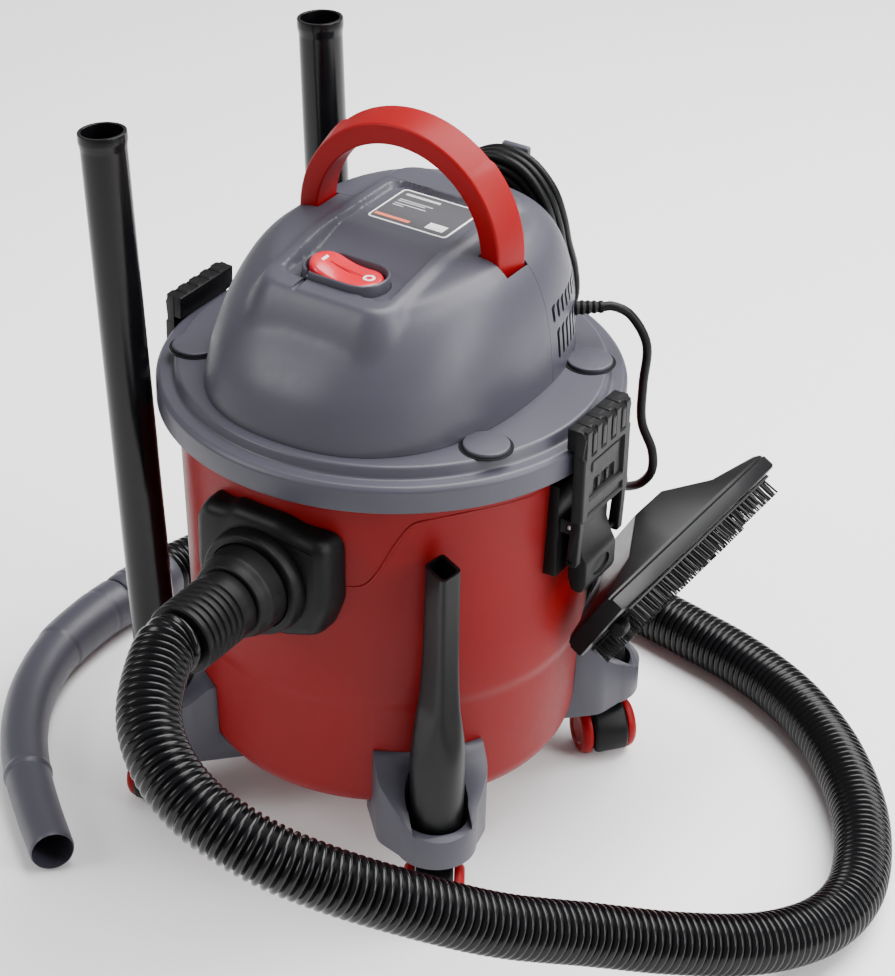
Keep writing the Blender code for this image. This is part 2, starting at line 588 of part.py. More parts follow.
def make_cord():
    out, exit_at = relief_axis()
    profile = [(0.0, 0.0290), (0.0045, 0.0290), (0.0062, 0.0060), (0.0062, -0.0060), (0.0, -0.0060)]
    turned("strain_relief", profile, "matt_black", frame_at(exit_at, out), 16)
    start = exit_at + out * (0.0290 + GAP)
    # The cord meets the hank square on, at the lower right of its lower bend.
    inward = Vector((-1.0, 0.0, 1.0)).normalized()
    bend_at = Vector((HANK_X, HANK_PATH[-1][0], HANK_LOW + HANK_HALF_WIDE))
    end = bend_at - inward * (HANK_HALF_WIDE + 2 * GAP)
    route = [tuple(start), tuple(start + out * 0.008)] + CORD_ROUTE_AFTER + [tuple(end - inward * 0.008), tuple(end)]
    path = smooth_route(route, 0.0125)
    tube("power_cord", [start, start + out * 0.006, *path[1:-1], end - inward * 0.002, end], CORD_R, "matt_black", 2)

    # The hank is a thick loop: its side view bends from the hook out past the lid's flange.
    side = np.array(HANK_PATH)
    along = np.gradient(side, axis=0)
    normal = np.stack([along[:, 1], -along[:, 0]], axis=1) / np.linalg.norm(along, axis=1)[:, None]
    strip = [tuple(p) for p in np.vstack([side + normal * HANK_HALF_THICK, (side - normal * HANK_HALF_THICK)[::-1]])]
    to_yz = frame_at((HANK_X, 0, 0), (1, 0, 0), (0, 1, 0))
    hank = add("cord_hank", outline_mesh(strip, -0.06, 0.06), "matt_black", to_yz)
    middle = (HANK_LOW + HANK_HIGH) / 2
    facing = frame_at((HANK_X, 0, middle), (0, 1, 0), (0, 0, 1))
    half_long = (HANK_HIGH - HANK_LOW) / 2
    outside = obround(half_long, HANK_HALF_WIDE, 9)
    inside = obround(half_long - HANK_ROPE, HANK_HALF_WIDE - HANK_ROPE, 9)
    boolean(hank, cutter_from(outline_mesh(outside, -0.4, 0.4), facing), "INTERSECT")
    boolean(hank, cutter_from(outline_mesh(inside, -0.5, 0.5), facing))
    plug_at = frame_at((HANK_X, HANK_PATH[-1][0], HANK_LOW - 0.0006), (0, 0, -1))
    plug = turned("power_plug", [(0.0, 0.0380), (0.0160, 0.0380), (0.0185, 0.0300), (0.0170, 0.0100),
                                 (0.0080, 0.0), (0.0, 0.0)], "matt_black",
                  plug_at, 16)
    for end in (-1, 1):
        pin = rod_mesh(0.0024, 0.036, 0.0570, 8)
        boolean(plug, cutter_from(pin, plug_at @ Matrix.Translation((end * 0.0095, 0, 0))), "UNION")


# ---------------------------------------------------------------- latches
def latch_frame(side):
    """Local X outward, Y along the drum, Z up, at the drum axis; side is +1 for +X and -1 for -X."""
    return frame_at((0, 0, 0), (0, 0, 1), (side, 0, 0))


def make_latch(side, tag):
    place = latch_frame(side)
    to_xz = frame_at((0, 0, 0), (0, -1, 0), (1, 0, 0))
    bracket = add(f"latch_bracket_{tag}", box_mesh((0.140, -0.0300, 0.2500), (0.1590, 0.0300, 0.3250)),
                  "matt_black", place)
    ear = arc((PIVOT_U - 0.0012, PIVOT_Z), 0.0056, -90, 90, 9) + [(0.1580, PIVOT_Z + 0.0056), (0.1580, PIVOT_Z - 0.0056)]
    for y in (-0.0240, 0.0240):
        plate = outline_mesh(ear, -0.0020, 0.0020)
        boolean(bracket, cutter_from(plate, place @ Matrix.Translation((0, y, 0)) @ to_xz), "UNION")
    pin_frame = place @ frame_at((PIVOT_U, 0, PIVOT_Z), (0, 1, 0))
    boolean(bracket, cutter_from(rod_mesh(0.0020 + GAP, -0.040, 0.040, 16), pin_frame))
    boolean(bracket, drum_cutter())
    add(f"latch_pin_{tag}", rod_mesh(0.0020, -0.0262, 0.0262, 14), "steel", pin_frame)

    lever_at = place @ Matrix.Translation((PIVOT_U, 0, PIVOT_Z))
    low = LEVER_TIP_Z - PIVOT_Z
    body = (arc((0, 0), 0.0048, 0, 180, 9) + [(-0.0022, -0.010), (-0.0022, low + 0.010), (0.0015, low),
            (0.0100, low), (0.0130, low + 0.006), (0.0130, low + 0.026), (0.0095, -0.024), (0.0048, -0.012)])
    lever = add(f"latch_lever_{tag}", outline_mesh(body, -0.0215, 0.0215), "matt_black", lever_at @ to_xz)
    boolean(lever, cutter_from(rod_mesh(0.0020 + GAP, -0.05, 0.05, 16), pin_frame))
    stub = rod_mesh(0.0020, -0.0320, 0.0320, 14)
    boolean(lever, cutter_from(stub, place @ frame_at((CLASP_U, 0, CLASP_Z), (0, 1, 0))), "UNION")

    clasp_at = place @ Matrix.Translation((CLASP_U, 0, CLASP_Z))
    top, bottom = 0.3760 - CLASP_Z, 0.3010 - CLASP_Z
    inner, outer = LATCH_U - CLASP_U, 0.1795 - CLASP_U
    lip = 0.1645 - CLASP_U
    front = [(inner, bottom), (outer, bottom), (outer, top - 0.004), (outer - 0.004, top), (lip, top),
             (lip, FLANGE_TOP + 0.0008 - CLASP_Z), (inner, FLANGE_TOP + 0.0008 - CLASP_Z)]
    clasp = add(f"latch_clasp_{tag}", outline_mesh(front, -0.0330, 0.0330), "matt_black", clasp_at @ to_xz)
    arm = [(-0.0040, -0.0050), (0.0050, -0.0050), (0.0068, bottom + 0.004), (-0.0008, bottom + 0.004)]
    for y in (-0.0299, 0.0299):
        piece = outline_mesh(arm, -0.0030, 0.0030)
        boolean(clasp, cutter_from(piece, clasp_at @ Matrix.Translation((0, y, 0)) @ to_xz), "UNION")
    bore = rod_mesh(0.0020 + GAP, -0.05, 0.05, 16)
    boolean(clasp, cutter_from(bore, place @ frame_at((CLASP_U, 0, CLASP_Z), (0, 1, 0))))


# ---------------------------------------------------------------- feet and casters
CORNERS = {"front_right": 45, "back_right": 135, "back_left": -135, "front_left": -45}
CASTER_HEADING = {"front_right": 31, "back_right": 50, "back_left": -150, "front_left": 10}


def make_foot(tag, degrees):
    """Corner foot: a wedge against the drum with a tool cup that opens outward."""
    place = spin_z(degrees)
    half, rho = 0.0400, FOOT_RHO
    plan = [(-half, -0.118), (-half - 0.001, -0.160)] + arc((0, -rho), CUP_R + 0.0070, 195, 345, 9)
    plan += [(half + 0.001, -0.160), (half, -0.118)]
    foot = add(f"foot_{tag}", outline_mesh(plan, FOOT_BOTTOM, FOOT_TOP), "slate_grey", place)
    slope = [(-0.142, FOOT_TOP + 0.0005), (-0.205, CUP_LIP - 0.004), (-0.24, CUP_LIP - 0.004), (-0.24, 0.16), (-0.142, 0.16)]
    to_yz = frame_at((0, 0, 0), (1, 0, 0), (0, 1, 0))
    boolean(foot, cutter_from(outline_mesh(slope, -0.08, 0.08), place @ to_yz))
    cup = place @ Matrix.Translation((0, -rho, 0))
    boolean(foot, cutter_from(rod_mesh(CUP_R, CUP_FLOOR, 0.16, 28), cup))
    mouth = box_mesh((-CUP_R + 0.001, -0.06, CUP_LIP), (CUP_R - 0.001, 0.0, 0.16))
    boolean(foot, cutter_from(mouth, cup))
    boolean(foot, cutter_from(rod_mesh(0.0043, 0.04, 0.0600, 16), cup))
    boolean(foot, drum_cutter())
    return foot


def make_caster(tag, degrees, heading):
    """Twin-wheel caster: hood on a swivel stem, axle behind it, two wheels on the axle."""
    at = around(FOOT_RHO, degrees)
    place = Matrix.Translation(at) @ spin_z(heading)
    axle_at = (0, -CASTER_TRAIL, WHEEL_R)
    axle = place @ frame_at(axle_at, (1, 0, 0), (0, 1, 0))
    hood_half = 0.0138
    shape = arc((0, 0), 0.0235, -25, 205, 13)
    side_view = frame_at(axle_at, (1, 0, 0), (0, 1, 0))
    hood = add(f"caster_hood_{tag}", outline_mesh(shape, -hood_half, hood_half), "matt_black", place @ side_view)
    neck = rod_mesh(0.0110, 0.0300, FOOT_BOTTOM - 0.0012, 14)
    boolean(hood, cutter_from(neck, place), "UNION")
    boolean(hood, cutter_from(rod_mesh(0.0040, 0.0400, 0.0590, 10), place), "UNION")
    boolean(hood, cutter_from(rod_mesh(0.0028 + GAP, -0.03, 0.03, 10), axle))
    add(f"caster_axle_{tag}", rod_mesh(0.0028, -0.0205, 0.0205, 10), "steel", axle)
    inner = hood_half + 0.0006
    for name, sign in (("a", -1), ("b", 1)):
        face = axle if sign > 0 else place @ frame_at(axle_at, (-1, 0, 0), (0, 1, 0))
        outer = inner + WHEEL_WIDE
        profile = [(0.0, outer), (WHEEL_R - 0.0020, outer), (WHEEL_R, outer - 0.0020), (WHEEL_R, inner), 
                   (0.0028 + GAP, inner), (0.0028 + GAP, 0.0209), (0.0, 0.0209)]
        turned(f"caster_wheel_{name}_{tag}", profile, "handle_red", face, 20)


# ---------------------------------------------------------------- tubes and tools
TUBE_FEET = {"left": around(0.1740, -45, 0.0655), "back": around(0.1740, -135, 0.0655)}
TUBE_LEAN = {"left": Vector((-0.083, 0.012, 0.9965)), "back": Vector((-0.062, 0.018, 0.998))}


def make_extension(tag):
    """Extension tube: slim push-in end at the bottom, belled socket end at the top."""
    r, wall = TUBE_R, TUBE_WALL
    slim = r - 0.0020
    profile = [(r - wall, TUBE_LONG), (r + 0.0010, TUBE_LONG), (r + 0.0010, TUBE_LONG - 0.004), (r, TUBE_LONG - 0.010),
               (r, 0.060), (slim, 0.052), (slim, 0.0), (slim - wall, 0.0), (slim - wall, 0.052), (r - wall, 0.060)]
    turned(f"extension_tube_{tag}", profile, "gloss_black", frame_at(TUBE_FEET[tag], TUBE_LEAN[tag]), 20, loop=True)


CREVICE_FOOT = around(0.1720, 45, 0.0640)


def make_crevice_tool():
    """Crevice tool: round socket that changes to a flat mouth cut on a slant."""
    count = 24
    turn = np.arange(count) * 2 * pi / count
    facing = radians(64)
    rings = []
    rows = [(0.0, 1.0, 0.0190, 0.0190), (0.060, 1.0, 0.0200, 0.0200), (0.078, 0.9, 0.0190, 0.0196),
            (0.118, 0.15, 0.0098, 0.0150), (0.150, 0.12, 0.0085, 0.0138), (0.230, 0.12, 0.0078, 0.0128)]
    for z, roundness, half_a, half_b in rows:
        power = 2.0 / (0.22 + 0.78 * roundness)
        c, s = np.cos(turn), np.sin(turn)
        scale = (np.abs(c) ** power + np.abs(s) ** power) ** (-1 / power)
        a, b = half_a * scale * c, half_b * scale * s
        x, y = a * cos(facing) - b * sin(facing), a * sin(facing) + b * cos(facing)
        tilt = 0.35 * a if z == 0.230 else 0.0
        rings.append([(px, py, z + t) for px, py, t in zip(x, y, np.broadcast_to(tilt, x.shape))])
    place = frame_at(CREVICE_FOOT, (0.0, 0.0, 1.0))
    tool = add("crevice_tool", loft_mesh(rings), "matt_black", place, 40)
    boolean(tool, cutter_from(rod_mesh(0.0165, -0.01, 0.050, 24), place))
    lower = [(0.0165 * cos(a), 0.0165 * sin(a), 0.049) for a in turn]
    slim = []
    for z, half_a, half_b in ((0.112, 0.0078, 0.0130), (0.26, 0.0058, 0.0108)):
        c, s = np.cos(turn), np.sin(turn)
        scale = (np.abs(c) ** 8 + np.abs(s) ** 8) ** (-1 / 8)
        a, b = half_a * scale * c, half_b * scale * s
        slim.append(list(zip(a * cos(facing) - b * sin(facing), a * sin(facing) + b * cos(facing), np.full(count, z))))
    boolean(tool, cutter_from(loft_mesh([lower] + slim), place))


def head_point(along, out, inward):
    """A point of the floor brush head: along its length, out with the bristles, in towards the drum."""
    return HEAD_CORNER + Vector((0, along, 0)) + HEAD_OUT * out + HEAD_IN * inward


def make_floor_brush():
    """Hood with a raised middle, bent neck, two bristle strips and two small rollers."""
    def section(along, rise, pull):
        return [head_point(along, HEAD_LIP, 0.0), head_point(along, HEAD_LIP, HEAD_DEEP),
                head_point(along, 0.002, HEAD_DEEP), head_point(along, -rise, HEAD_DEEP - pull),
                head_point(along, -rise, pull), head_point(along, 0.002, 0.0)]
    mid = HEAD_LONG / 2
    rows = [(0.0, 0.0, 0.006), (0.055, 0.010, 0.009), (mid - 0.020, 0.030, 0.014), (mid + 0.020, 0.030, 0.014),
            (HEAD_LONG - 0.055, 0.010, 0.009), (HEAD_LONG, 0.0, 0.006)]
    brush = add("brush_body", loft_mesh([section(*row) for row in rows]), "matt_black")
    hollow = [[head_point(y, HEAD_LIP + 0.01, m), head_point(y, HEAD_LIP + 0.01, HEAD_DEEP - m),
               head_point(y, depth, HEAD_DEEP - m - 0.002), head_point(y, depth, m + 0.002)]
              for y, depth, m in ((0.006, 0.0055, 0.0145), (mid - 0.03, -0.006, 0.0165), (mid + 0.03, -0.006, 0.0165),
                                  (HEAD_LONG - 0.006, 0.0055, 0.0145))]
    neck = tube("neck", brush_neck(), TOOL_R, "matt_black", 4, keep_mesh=True)
    PARTS.objects.unlink(neck)
    CUTTERS.objects.link(neck)
    neck.hide_render, neck.display_type = True, "WIRE"
    boolean(brush, neck, "UNION")
    boolean(brush, cutter_from(loft_mesh(hollow)))
    boolean(brush, cutter_from(rod_mesh(0.0160, -0.01, 0.040, 20), Matrix.Translation(brush_neck()[0])))
    for tag, inward in (("front", 0.0030), ("rear", HEAD_DEEP - 0.0120)):
        low, high = inward, inward + 0.0090
        strip = loft_mesh([[head_point(y, HEAD_LIP + GAP, low + 0.002), head_point(y, HEAD_LIP + GAP, high - 0.002),
                            head_point(y, HEAD_LIP + 0.0165, high), head_point(y, HEAD_LIP + 0.0165, low)]
                           for y in (0.010, HEAD_LONG - 0.010)])
        add(f"bristle_strip_{tag}", strip, "bristle")
    for tag, y in (("near", 0.0180), ("far", HEAD_LONG - 0.0180)):
        at = head_point(y, HEAD_LIP + 0.0050, HEAD_DEEP * 0.5)
        profile = [(0.0, 0.0050), (0.0062, 0.0050), (0.0070, 0.0040), (0.0070, -0.0040), (0.0062, -0.0050), (0.0, -0.0050)]
        turned(f"brush_roller_{tag}", profile, "matt_black", frame_at(at, (0, 1, 0)), 16)


def brush_neck():
    """Centre line of the brush's neck, from the cup up into the hood."""
    foot = around(FOOT_RHO, 135, 0.0640)
    return [tuple(foot), (foot.x, foot.y, 0.1080), (0.1380, 0.1207, 0.1520), (0.1530, 0.1200, 0.1880),
            (0.1650, 0.1200, 0.2060)]


# ---------------------------------------------------------------- assembly
make_drum()
make_lid()
make_lid_seal()
make_works()
make_covers()
make_handle()
make_switch()
make_label()
make_inlet()
make_hose()
make_grip()
make_cord()
for latch_side, latch_tag in ((1, "right"), (-1, "left")):
    make_latch(latch_side, latch_tag)
for corner, corner_degrees in CORNERS.items():
    make_foot(corner, corner_degrees)
    make_caster(corner, corner_degrees, CASTER_HEADING[corner])
for tube_tag in TUBE_FEET:
    make_extension(tube_tag)
make_crevice_tool()
make_floor_brush()
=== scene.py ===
# %% [markdown]
# # A wet-and-dry drum vacuum cleaner
# The engineering model gives the solids, their sizes and their joints. This lesson puts the real surfaces
# round them: moulded plastic shells, a ribbed hose, a wound power cord and small fittings. Every new piece
# is a surface worked out with numpy, placed in the model's own metres, so nothing has to be fitted later.

import json

import bpy
import numpy as np
from mathutils import Matrix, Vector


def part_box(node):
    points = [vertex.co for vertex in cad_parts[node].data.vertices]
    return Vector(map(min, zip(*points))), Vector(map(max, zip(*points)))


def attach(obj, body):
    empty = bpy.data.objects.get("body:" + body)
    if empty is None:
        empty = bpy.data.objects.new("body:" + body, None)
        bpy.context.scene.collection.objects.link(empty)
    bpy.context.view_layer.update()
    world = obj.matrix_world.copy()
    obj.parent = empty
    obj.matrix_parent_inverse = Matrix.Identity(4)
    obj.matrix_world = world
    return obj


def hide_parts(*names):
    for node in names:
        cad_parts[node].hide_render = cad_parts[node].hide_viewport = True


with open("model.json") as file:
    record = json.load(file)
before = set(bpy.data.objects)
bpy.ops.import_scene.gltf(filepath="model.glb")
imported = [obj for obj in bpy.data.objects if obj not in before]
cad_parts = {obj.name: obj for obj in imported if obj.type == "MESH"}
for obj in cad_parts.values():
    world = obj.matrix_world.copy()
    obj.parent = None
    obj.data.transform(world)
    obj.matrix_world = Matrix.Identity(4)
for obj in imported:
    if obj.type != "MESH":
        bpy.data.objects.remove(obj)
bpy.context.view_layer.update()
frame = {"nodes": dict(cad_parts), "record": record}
drum_low, drum_high = (np.array(corner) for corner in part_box("drum"))
AXIS = np.array([*((drum_low + drum_high) / 2)[:2], 0.0])
body_of = {node: body for body, nodes in frame["record"]["behaviour"]["bodies"].items() for node in nodes}

# %% [markdown]
# ## Where we stand
# The machine is seen from its front right, from a little above, through a long lens, which keeps the
# verticals almost parallel. Three angles and a distance place the camera: the view direction comes from
# azimuth and elevation, and a small roll turns the picture about it.

# %% Camera
AZIMUTH, ELEVATION, ROLL = np.radians([31.375, 31.905, 1.536])
CAMERA_AT = AXIS + (0.9809, -1.5274, 1.3845)
level = np.array([np.cos(AZIMUTH), np.sin(AZIMUTH), 0.0])
outward = np.array([np.sin(AZIMUTH), -np.cos(AZIMUTH), 0.0])
backward = np.cos(ELEVATION) * outward + (0.0, 0.0, np.sin(ELEVATION))
upward = np.cross(backward, level)
rightward = np.cos(ROLL) * level + np.sin(ROLL) * upward
upward = np.cos(ROLL) * upward - np.sin(ROLL) * level

camera = bpy.data.objects.new("camera", bpy.data.cameras.new("camera"))
camera.data.lens = 106.56
camera.data.sensor_width = 36.0
turned_view = np.eye(4)
turned_view[:3] = np.column_stack([rightward, upward, backward, CAMERA_AT])
camera.matrix_world = Matrix(turned_view)
bpy.context.scene.collection.objects.link(camera)
bpy.context.scene.camera = camera
print("camera", CAMERA_AT.round(3))

# %% [markdown]
# ## Surfaces from arrays
# Almost every moulded or turned part is a stack of rings: walk round an outline, then step to the next
# outline. A skin of four-sided faces joins the rings, and a flat face closes each end. Working with whole
# arrays keeps this short and quick, and the sign of the enclosed volume tells which way the faces look.

# %% Skin through rings
def skin(rings, loop=False):
    """Faces between neighbouring rings of equal count. The ends get one flat face each, or meet if loop."""
    rings = np.asarray(rings, float)
    rows, count = rings.shape[:2]
    index = np.arange(rows * count).reshape(rows, count)
    near, far = (index, np.roll(index, -1, axis=0)) if loop else (index[:-1], index[1:])
    quads = np.stack([near, np.roll(near, -1, 1), np.roll(far, -1, 1), far], axis=-1).reshape(-1, 4)
    points = rings.reshape(-1, 3)
    corner = points[quads]
    middle = points.mean(axis=0)
    a, b, c, d = (corner[:, k] - middle for k in range(4))
    volume = (np.cross(a, b) * c).sum() + (np.cross(a, c) * d).sum()
    ends = [] if loop else [index[0][::-1].tolist(), index[-1].tolist()]
    for ring, sign in ((rings[0], -1), (rings[-1], 1)):
        spoke = ring - middle
        volume += 0 if loop else sign * (np.cross(spoke, np.roll(spoke, -1,
                                                                 0)) * (ring.mean(0) - middle)).sum()
    faces = quads.tolist() + ends
    return points, [face[::-1] for face in faces] if volume < 0 else faces


def joined(*surfaces):
    """One surface list out of several: points stacked, face numbers shifted past the earlier points."""
    points, faces, start = [], [], 0
    for part_points, part_faces in surfaces:
        points.append(part_points)
        faces += [[number + start for number in face] for face in part_faces]
        start += len(part_points)
    return np.vstack(points), faces


def rounded(points, radius, steps=5, closed=True):
    """Each corner becomes a parabola between the points one radius before it and one radius after it."""
    points = np.asarray(points, float)
    before, after = np.roll(points, 1, 0) - points, np.roll(points, -1, 0) - points
    long_before = np.linalg.norm(before, axis=1, keepdims=True)
    long_after = np.linalg.norm(after, axis=1, keepdims=True)
    reach = np.broadcast_to(np.asarray(radius, float).reshape(-1, 1), long_before.shape)
    start = points + before / long_before * np.minimum(reach, 0.48 * long_before)
    end = points + after / long_after * np.minimum(reach, 0.48 * long_after)
    t = np.linspace(0, 1, steps)[None, :, None]
    curve = (1 - t) ** 2 * start[:, None] + 2 * t * (1 - t) * points[:, None] + t ** 2 * end[:, None]
    if closed:
        return curve.reshape(-1, points.shape[1])
    return np.vstack([points[:1], curve[1:-1].reshape(-1, points.shape[1]), points[-1:]])


def stand(points, origin, z_axis=(0, 0, 1), x_hint=(1, 0, 0)):
    """Points moved so that their own Z runs along z_axis and their X as near x_hint as it can."""
    z = np.asarray(z_axis, float) / np.linalg.norm(z_axis)
    y = np.cross(z, x_hint)
    y /= np.linalg.norm(y)
    return np.asarray(points) @ np.stack([np.cross(y, z), y, z]) + origin


def placed(surface, origin, z_axis=(0, 0, 1), x_hint=(1, 0, 0)):
    return stand(surface[0], origin, z_axis, x_hint), surface[1]


def lathe(profile, steps=96, loop=False):
    """Profile of (radius, height) carried round the Z axis."""
    radius, height = np.asarray(profile, float).T
    turn = np.arange(steps) * 2 * np.pi / steps
    radius = np.maximum(radius, 1e-5)
    rings = np.stack([radius[:, None] * np.cos(turn), radius[:, None] * np.sin(turn),
                      np.repeat(height[:, None], steps, 1)], axis=-1)
    return skin(rings, loop)


def inset(outline, amount):
    """Outline moved inwards along its own normals, for an outline that runs anticlockwise."""
    along = np.roll(outline, -1, 0) - np.roll(outline, 1, 0)
    along /= np.maximum(np.linalg.norm(along, axis=1, keepdims=True), 1e-9)
    return outline + amount * np.stack([-along[:, 1], along[:, 0]], axis=1)


def plate(outline, low, high, edge=0.001, steps=4):
    """Outline raised from low to high, its two rims rounded by a quarter circle of radius edge."""
    outline = np.asarray(outline, float)
    x, y = outline.T
    if (x * np.roll(y, -1) - np.roll(x, -1) * y).sum() < 0:
        outline = outline[::-1]
    quarter = np.linspace(0, np.pi / 2, steps)
    ins = edge * (1 - np.sin(quarter))
    heights = edge * (1 - np.cos(quarter))
    rings = [np.column_stack([inset(outline, i), np.full(len(outline), low + h)]) for i,
             h in zip(ins, heights)]
    rings += [np.column_stack([inset(outline, i), np.full(len(outline), high - h)])
              for i, h in zip(ins[::-1], heights[::-1])]
    return skin(rings)


def through(rows, steps):
    """Rows on the Catmull-Rom curve, the cubic that leaves each row towards the one after next."""
    rows = np.asarray(rows, float)
    ends = np.vstack([2 * rows[0] - rows[1], rows, 2 * rows[-1] - rows[-2]])
    t = np.linspace(0, 1, steps, endpoint=False)[None, :, None]
    a, b, c, d = (ends[k:len(ends) - 3 + k, None] for k in range(4))
    fine = 0.5 * (2 * b + (c - a) * t + (2 * a - 5 * b + 4 * c - d) * t ** 2 + (3 * b - a - 3 * c + d) * t ** 3)
    return np.vstack([fine.reshape(-1, rows.shape[1]), rows[-1:]])


def smooth_route(points, spacing):
    """Even points on the curve through some knots."""
    return evenly(through(np.array(points, float), 24), spacing)


def evenly(line, spacing):
    """The same line with points at equal steps of its length."""
    along = np.concatenate([[0], np.cumsum(np.linalg.norm(np.diff(line, axis=0), axis=1))])
    even = np.linspace(0, along[-1], max(int(round(along[-1] / spacing)), 2) + 1)
    return np.stack([np.interp(even, along, line[:, k]) for k in range(3)], axis=1)


def sweep(path, section, scale=None):
    """Section (across, up) carried along a path, its frame turned no more than the path turns."""
    tangent = np.gradient(path, axis=0)
    tangent /= np.linalg.norm(tangent, axis=1, keepdims=True)
    normal = np.zeros_like(path)
    seed = np.cross(tangent[0], (0.0, 0.0, 1.0) if abs(tangent[0, 2]) < 0.9 else (1.0, 0.0, 0.0))
    normal[0] = seed / np.linalg.norm(seed)
    for k in range(1, len(path)):
        turned_on = normal[k - 1] - tangent[k] * (normal[k - 1] @ tangent[k])
        normal[k] = turned_on / np.linalg.norm(turned_on)
    binormal = np.cross(tangent, normal)
    scale = np.ones(len(path)) if scale is None else np.asarray(scale)
    section = np.asarray(section, float)
    return skin(path[:, None] + scale[:, None, None] * (section[:, :1] * normal[:, None]
                                                        + section[:, 1:] * binormal[:, None]))


def circle(radius, count=24):
    turn = np.arange(count) * 2 * np.pi / count
    return radius * np.stack([np.cos(turn), np.sin(turn)], axis=1)

# %% [markdown]
# A piece is a surface that has become an object: its place is in its mesh, its faces shade smoothly except
# across real edges, and it rides on a body of the frame. Where it stands for a solid of the engineering
# model, that solid is hidden.

# %% Make a piece
def mesh_object(name, surface):
    points, faces = surface
    mesh = bpy.data.meshes.new(name)
    mesh.from_pydata((points + AXIS).tolist(), [], faces)
    mesh.validate()
    made = bpy.data.objects.new(name, mesh)
    bpy.context.scene.collection.objects.link(made)
    return made


def settle(made, finish, body, nodes=(), sharp=32):
    made.data.shade_smooth()
    made.data.set_sharp_from_angle(angle=np.radians(sharp))
    made.data.materials.clear()
    made.data.materials.append(finish)
    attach(made, body)
    if nodes:
        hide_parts(*nodes)
    return made


def piece(name, surface, finish, body="machine", nodes=(), sharp=32):
    made = settle(mesh_object(name, surface), finish, body, nodes, sharp)
    print(f"{name}: {len(made.data.vertices)} points, {len(made.data.polygons)} faces")
    return made


def carve(made, tool, operation="DIFFERENCE"):
    """Boolean with a surface, written into the mesh; the MANIFOLD solver is quick on closed shapes."""
    cutter = mesh_object("cutter", tool)
    cut = made.modifiers.new("cut", "BOOLEAN")
    cut.object, cut.operation, cut.solver = cutter, operation, "MANIFOLD"
    graph = bpy.context.evaluated_depsgraph_get()
    result = bpy.data.meshes.new_from_object(made.evaluated_get(graph))
    made.modifiers.clear()
    made.data = result
    bpy.data.objects.remove(cutter)
    return made

# %% [markdown]
# ## Shader sums
# A finish is a small sum of noises. Writing it as Python expressions is easier to read than a list of
# links, so one class wraps a socket and turns the operators into Math nodes.

# %% Socket arithmetic
class Wire:
    """A value inside a material; +, - and * on it add Math nodes."""

    def __init__(self, finish, socket):
        self.finish, self.socket = finish, socket

    def math(self, operation, first, second):
        return self.finish.node("Math", {"operation": operation}, {0: first, 1: second})

    def __add__(self, other):
        return self.math("ADD", self, other)

    def __sub__(self, other):
        return self.math("SUBTRACT", self, other)

    def __mul__(self, other):
        return self.math("MULTIPLY", self, other)

    __radd__, __rmul__ = __add__, __mul__


class Finish:
    """One material: node() adds any node, surface() sets or links the Principled shader's sockets."""

    def __init__(self, name):
        self.material = bpy.data.materials.new(name)
        self.material.use_nodes = True
        self.tree = self.material.node_tree
        self.shader = self.tree.nodes["Principled BSDF"]
        self.at = self.node("TexCoord", {}, {}, "Object")

    def node(self, kind, settings, values, output=0):
        made = self.tree.nodes.new("ShaderNode" + kind)
        for key, value in settings.items():
            setattr(made, key, value)
        for key, value in values.items():
            self.feed(made.inputs[key], value)
        return Wire(self, made.outputs[output])

    def feed(self, socket, value):
        if isinstance(value, Wire):
            self.tree.links.new(value.socket, socket)
        else:
            socket.default_value = value

    def surface(self, **values):
        for key, value in values.items():
            self.feed(self.shader.inputs[key.replace("_", " ")], value)

    def noise(self, scale, detail=2.0, rough=0.5):
        values = {"Vector": self.at, "Scale": scale, "Detail": detail, "Roughness": rough}
        return self.node("TexNoise", {}, values)

    def between(self, low, high, mask):
        """Colour that goes from low to high as the mask goes from 0 to 1."""
        return self.node("Mix", {"data_type": "RGBA"}, {0: mask, 6: (*low, 1), 7: (*high, 1)}, 2)

    def bump(self, height, depth):
        return self.node("Bump", {}, {"Height": height, "Distance": depth, "Strength": 1.0})

# %% [markdown]
# ## The plastics
# Moulded housings come out of tools whose steel is etched, so their skin has a fine leathery grain, while
# a hose or a tube has none and shines. One recipe serves all: a fine noise for the grain, and slower
# noises that let the colour and the gloss wander a little.


def moulded(name, colour, rough, grain=0.00004, size=1500.0, drift=0.10, shine=0.30):
    """Base colour drifts by a slow noise, roughness by a middle one, and a fine noise raises the grain."""
    finish = Finish(name)
    slow, middle = finish.noise(14.0, 3.0), finish.noise(130.0, 2.0)
    fine = finish.noise(size, 1.0)
    dark = tuple(channel * (1 - drift) for channel in colour)
    light = tuple(min(channel * (1 + drift) + 0.0008, 1.0) for channel in colour)
    gloss = middle * 0.10 + slow * 0.08 + (rough - 0.09)
    finish.surface(Base_Color=finish.between(dark, light, slow), Roughness=gloss, Specular_IOR_Level=shine)
    if grain:
        finish.surface(Normal=finish.bump(fine + middle * 0.35, grain))
    return finish.material


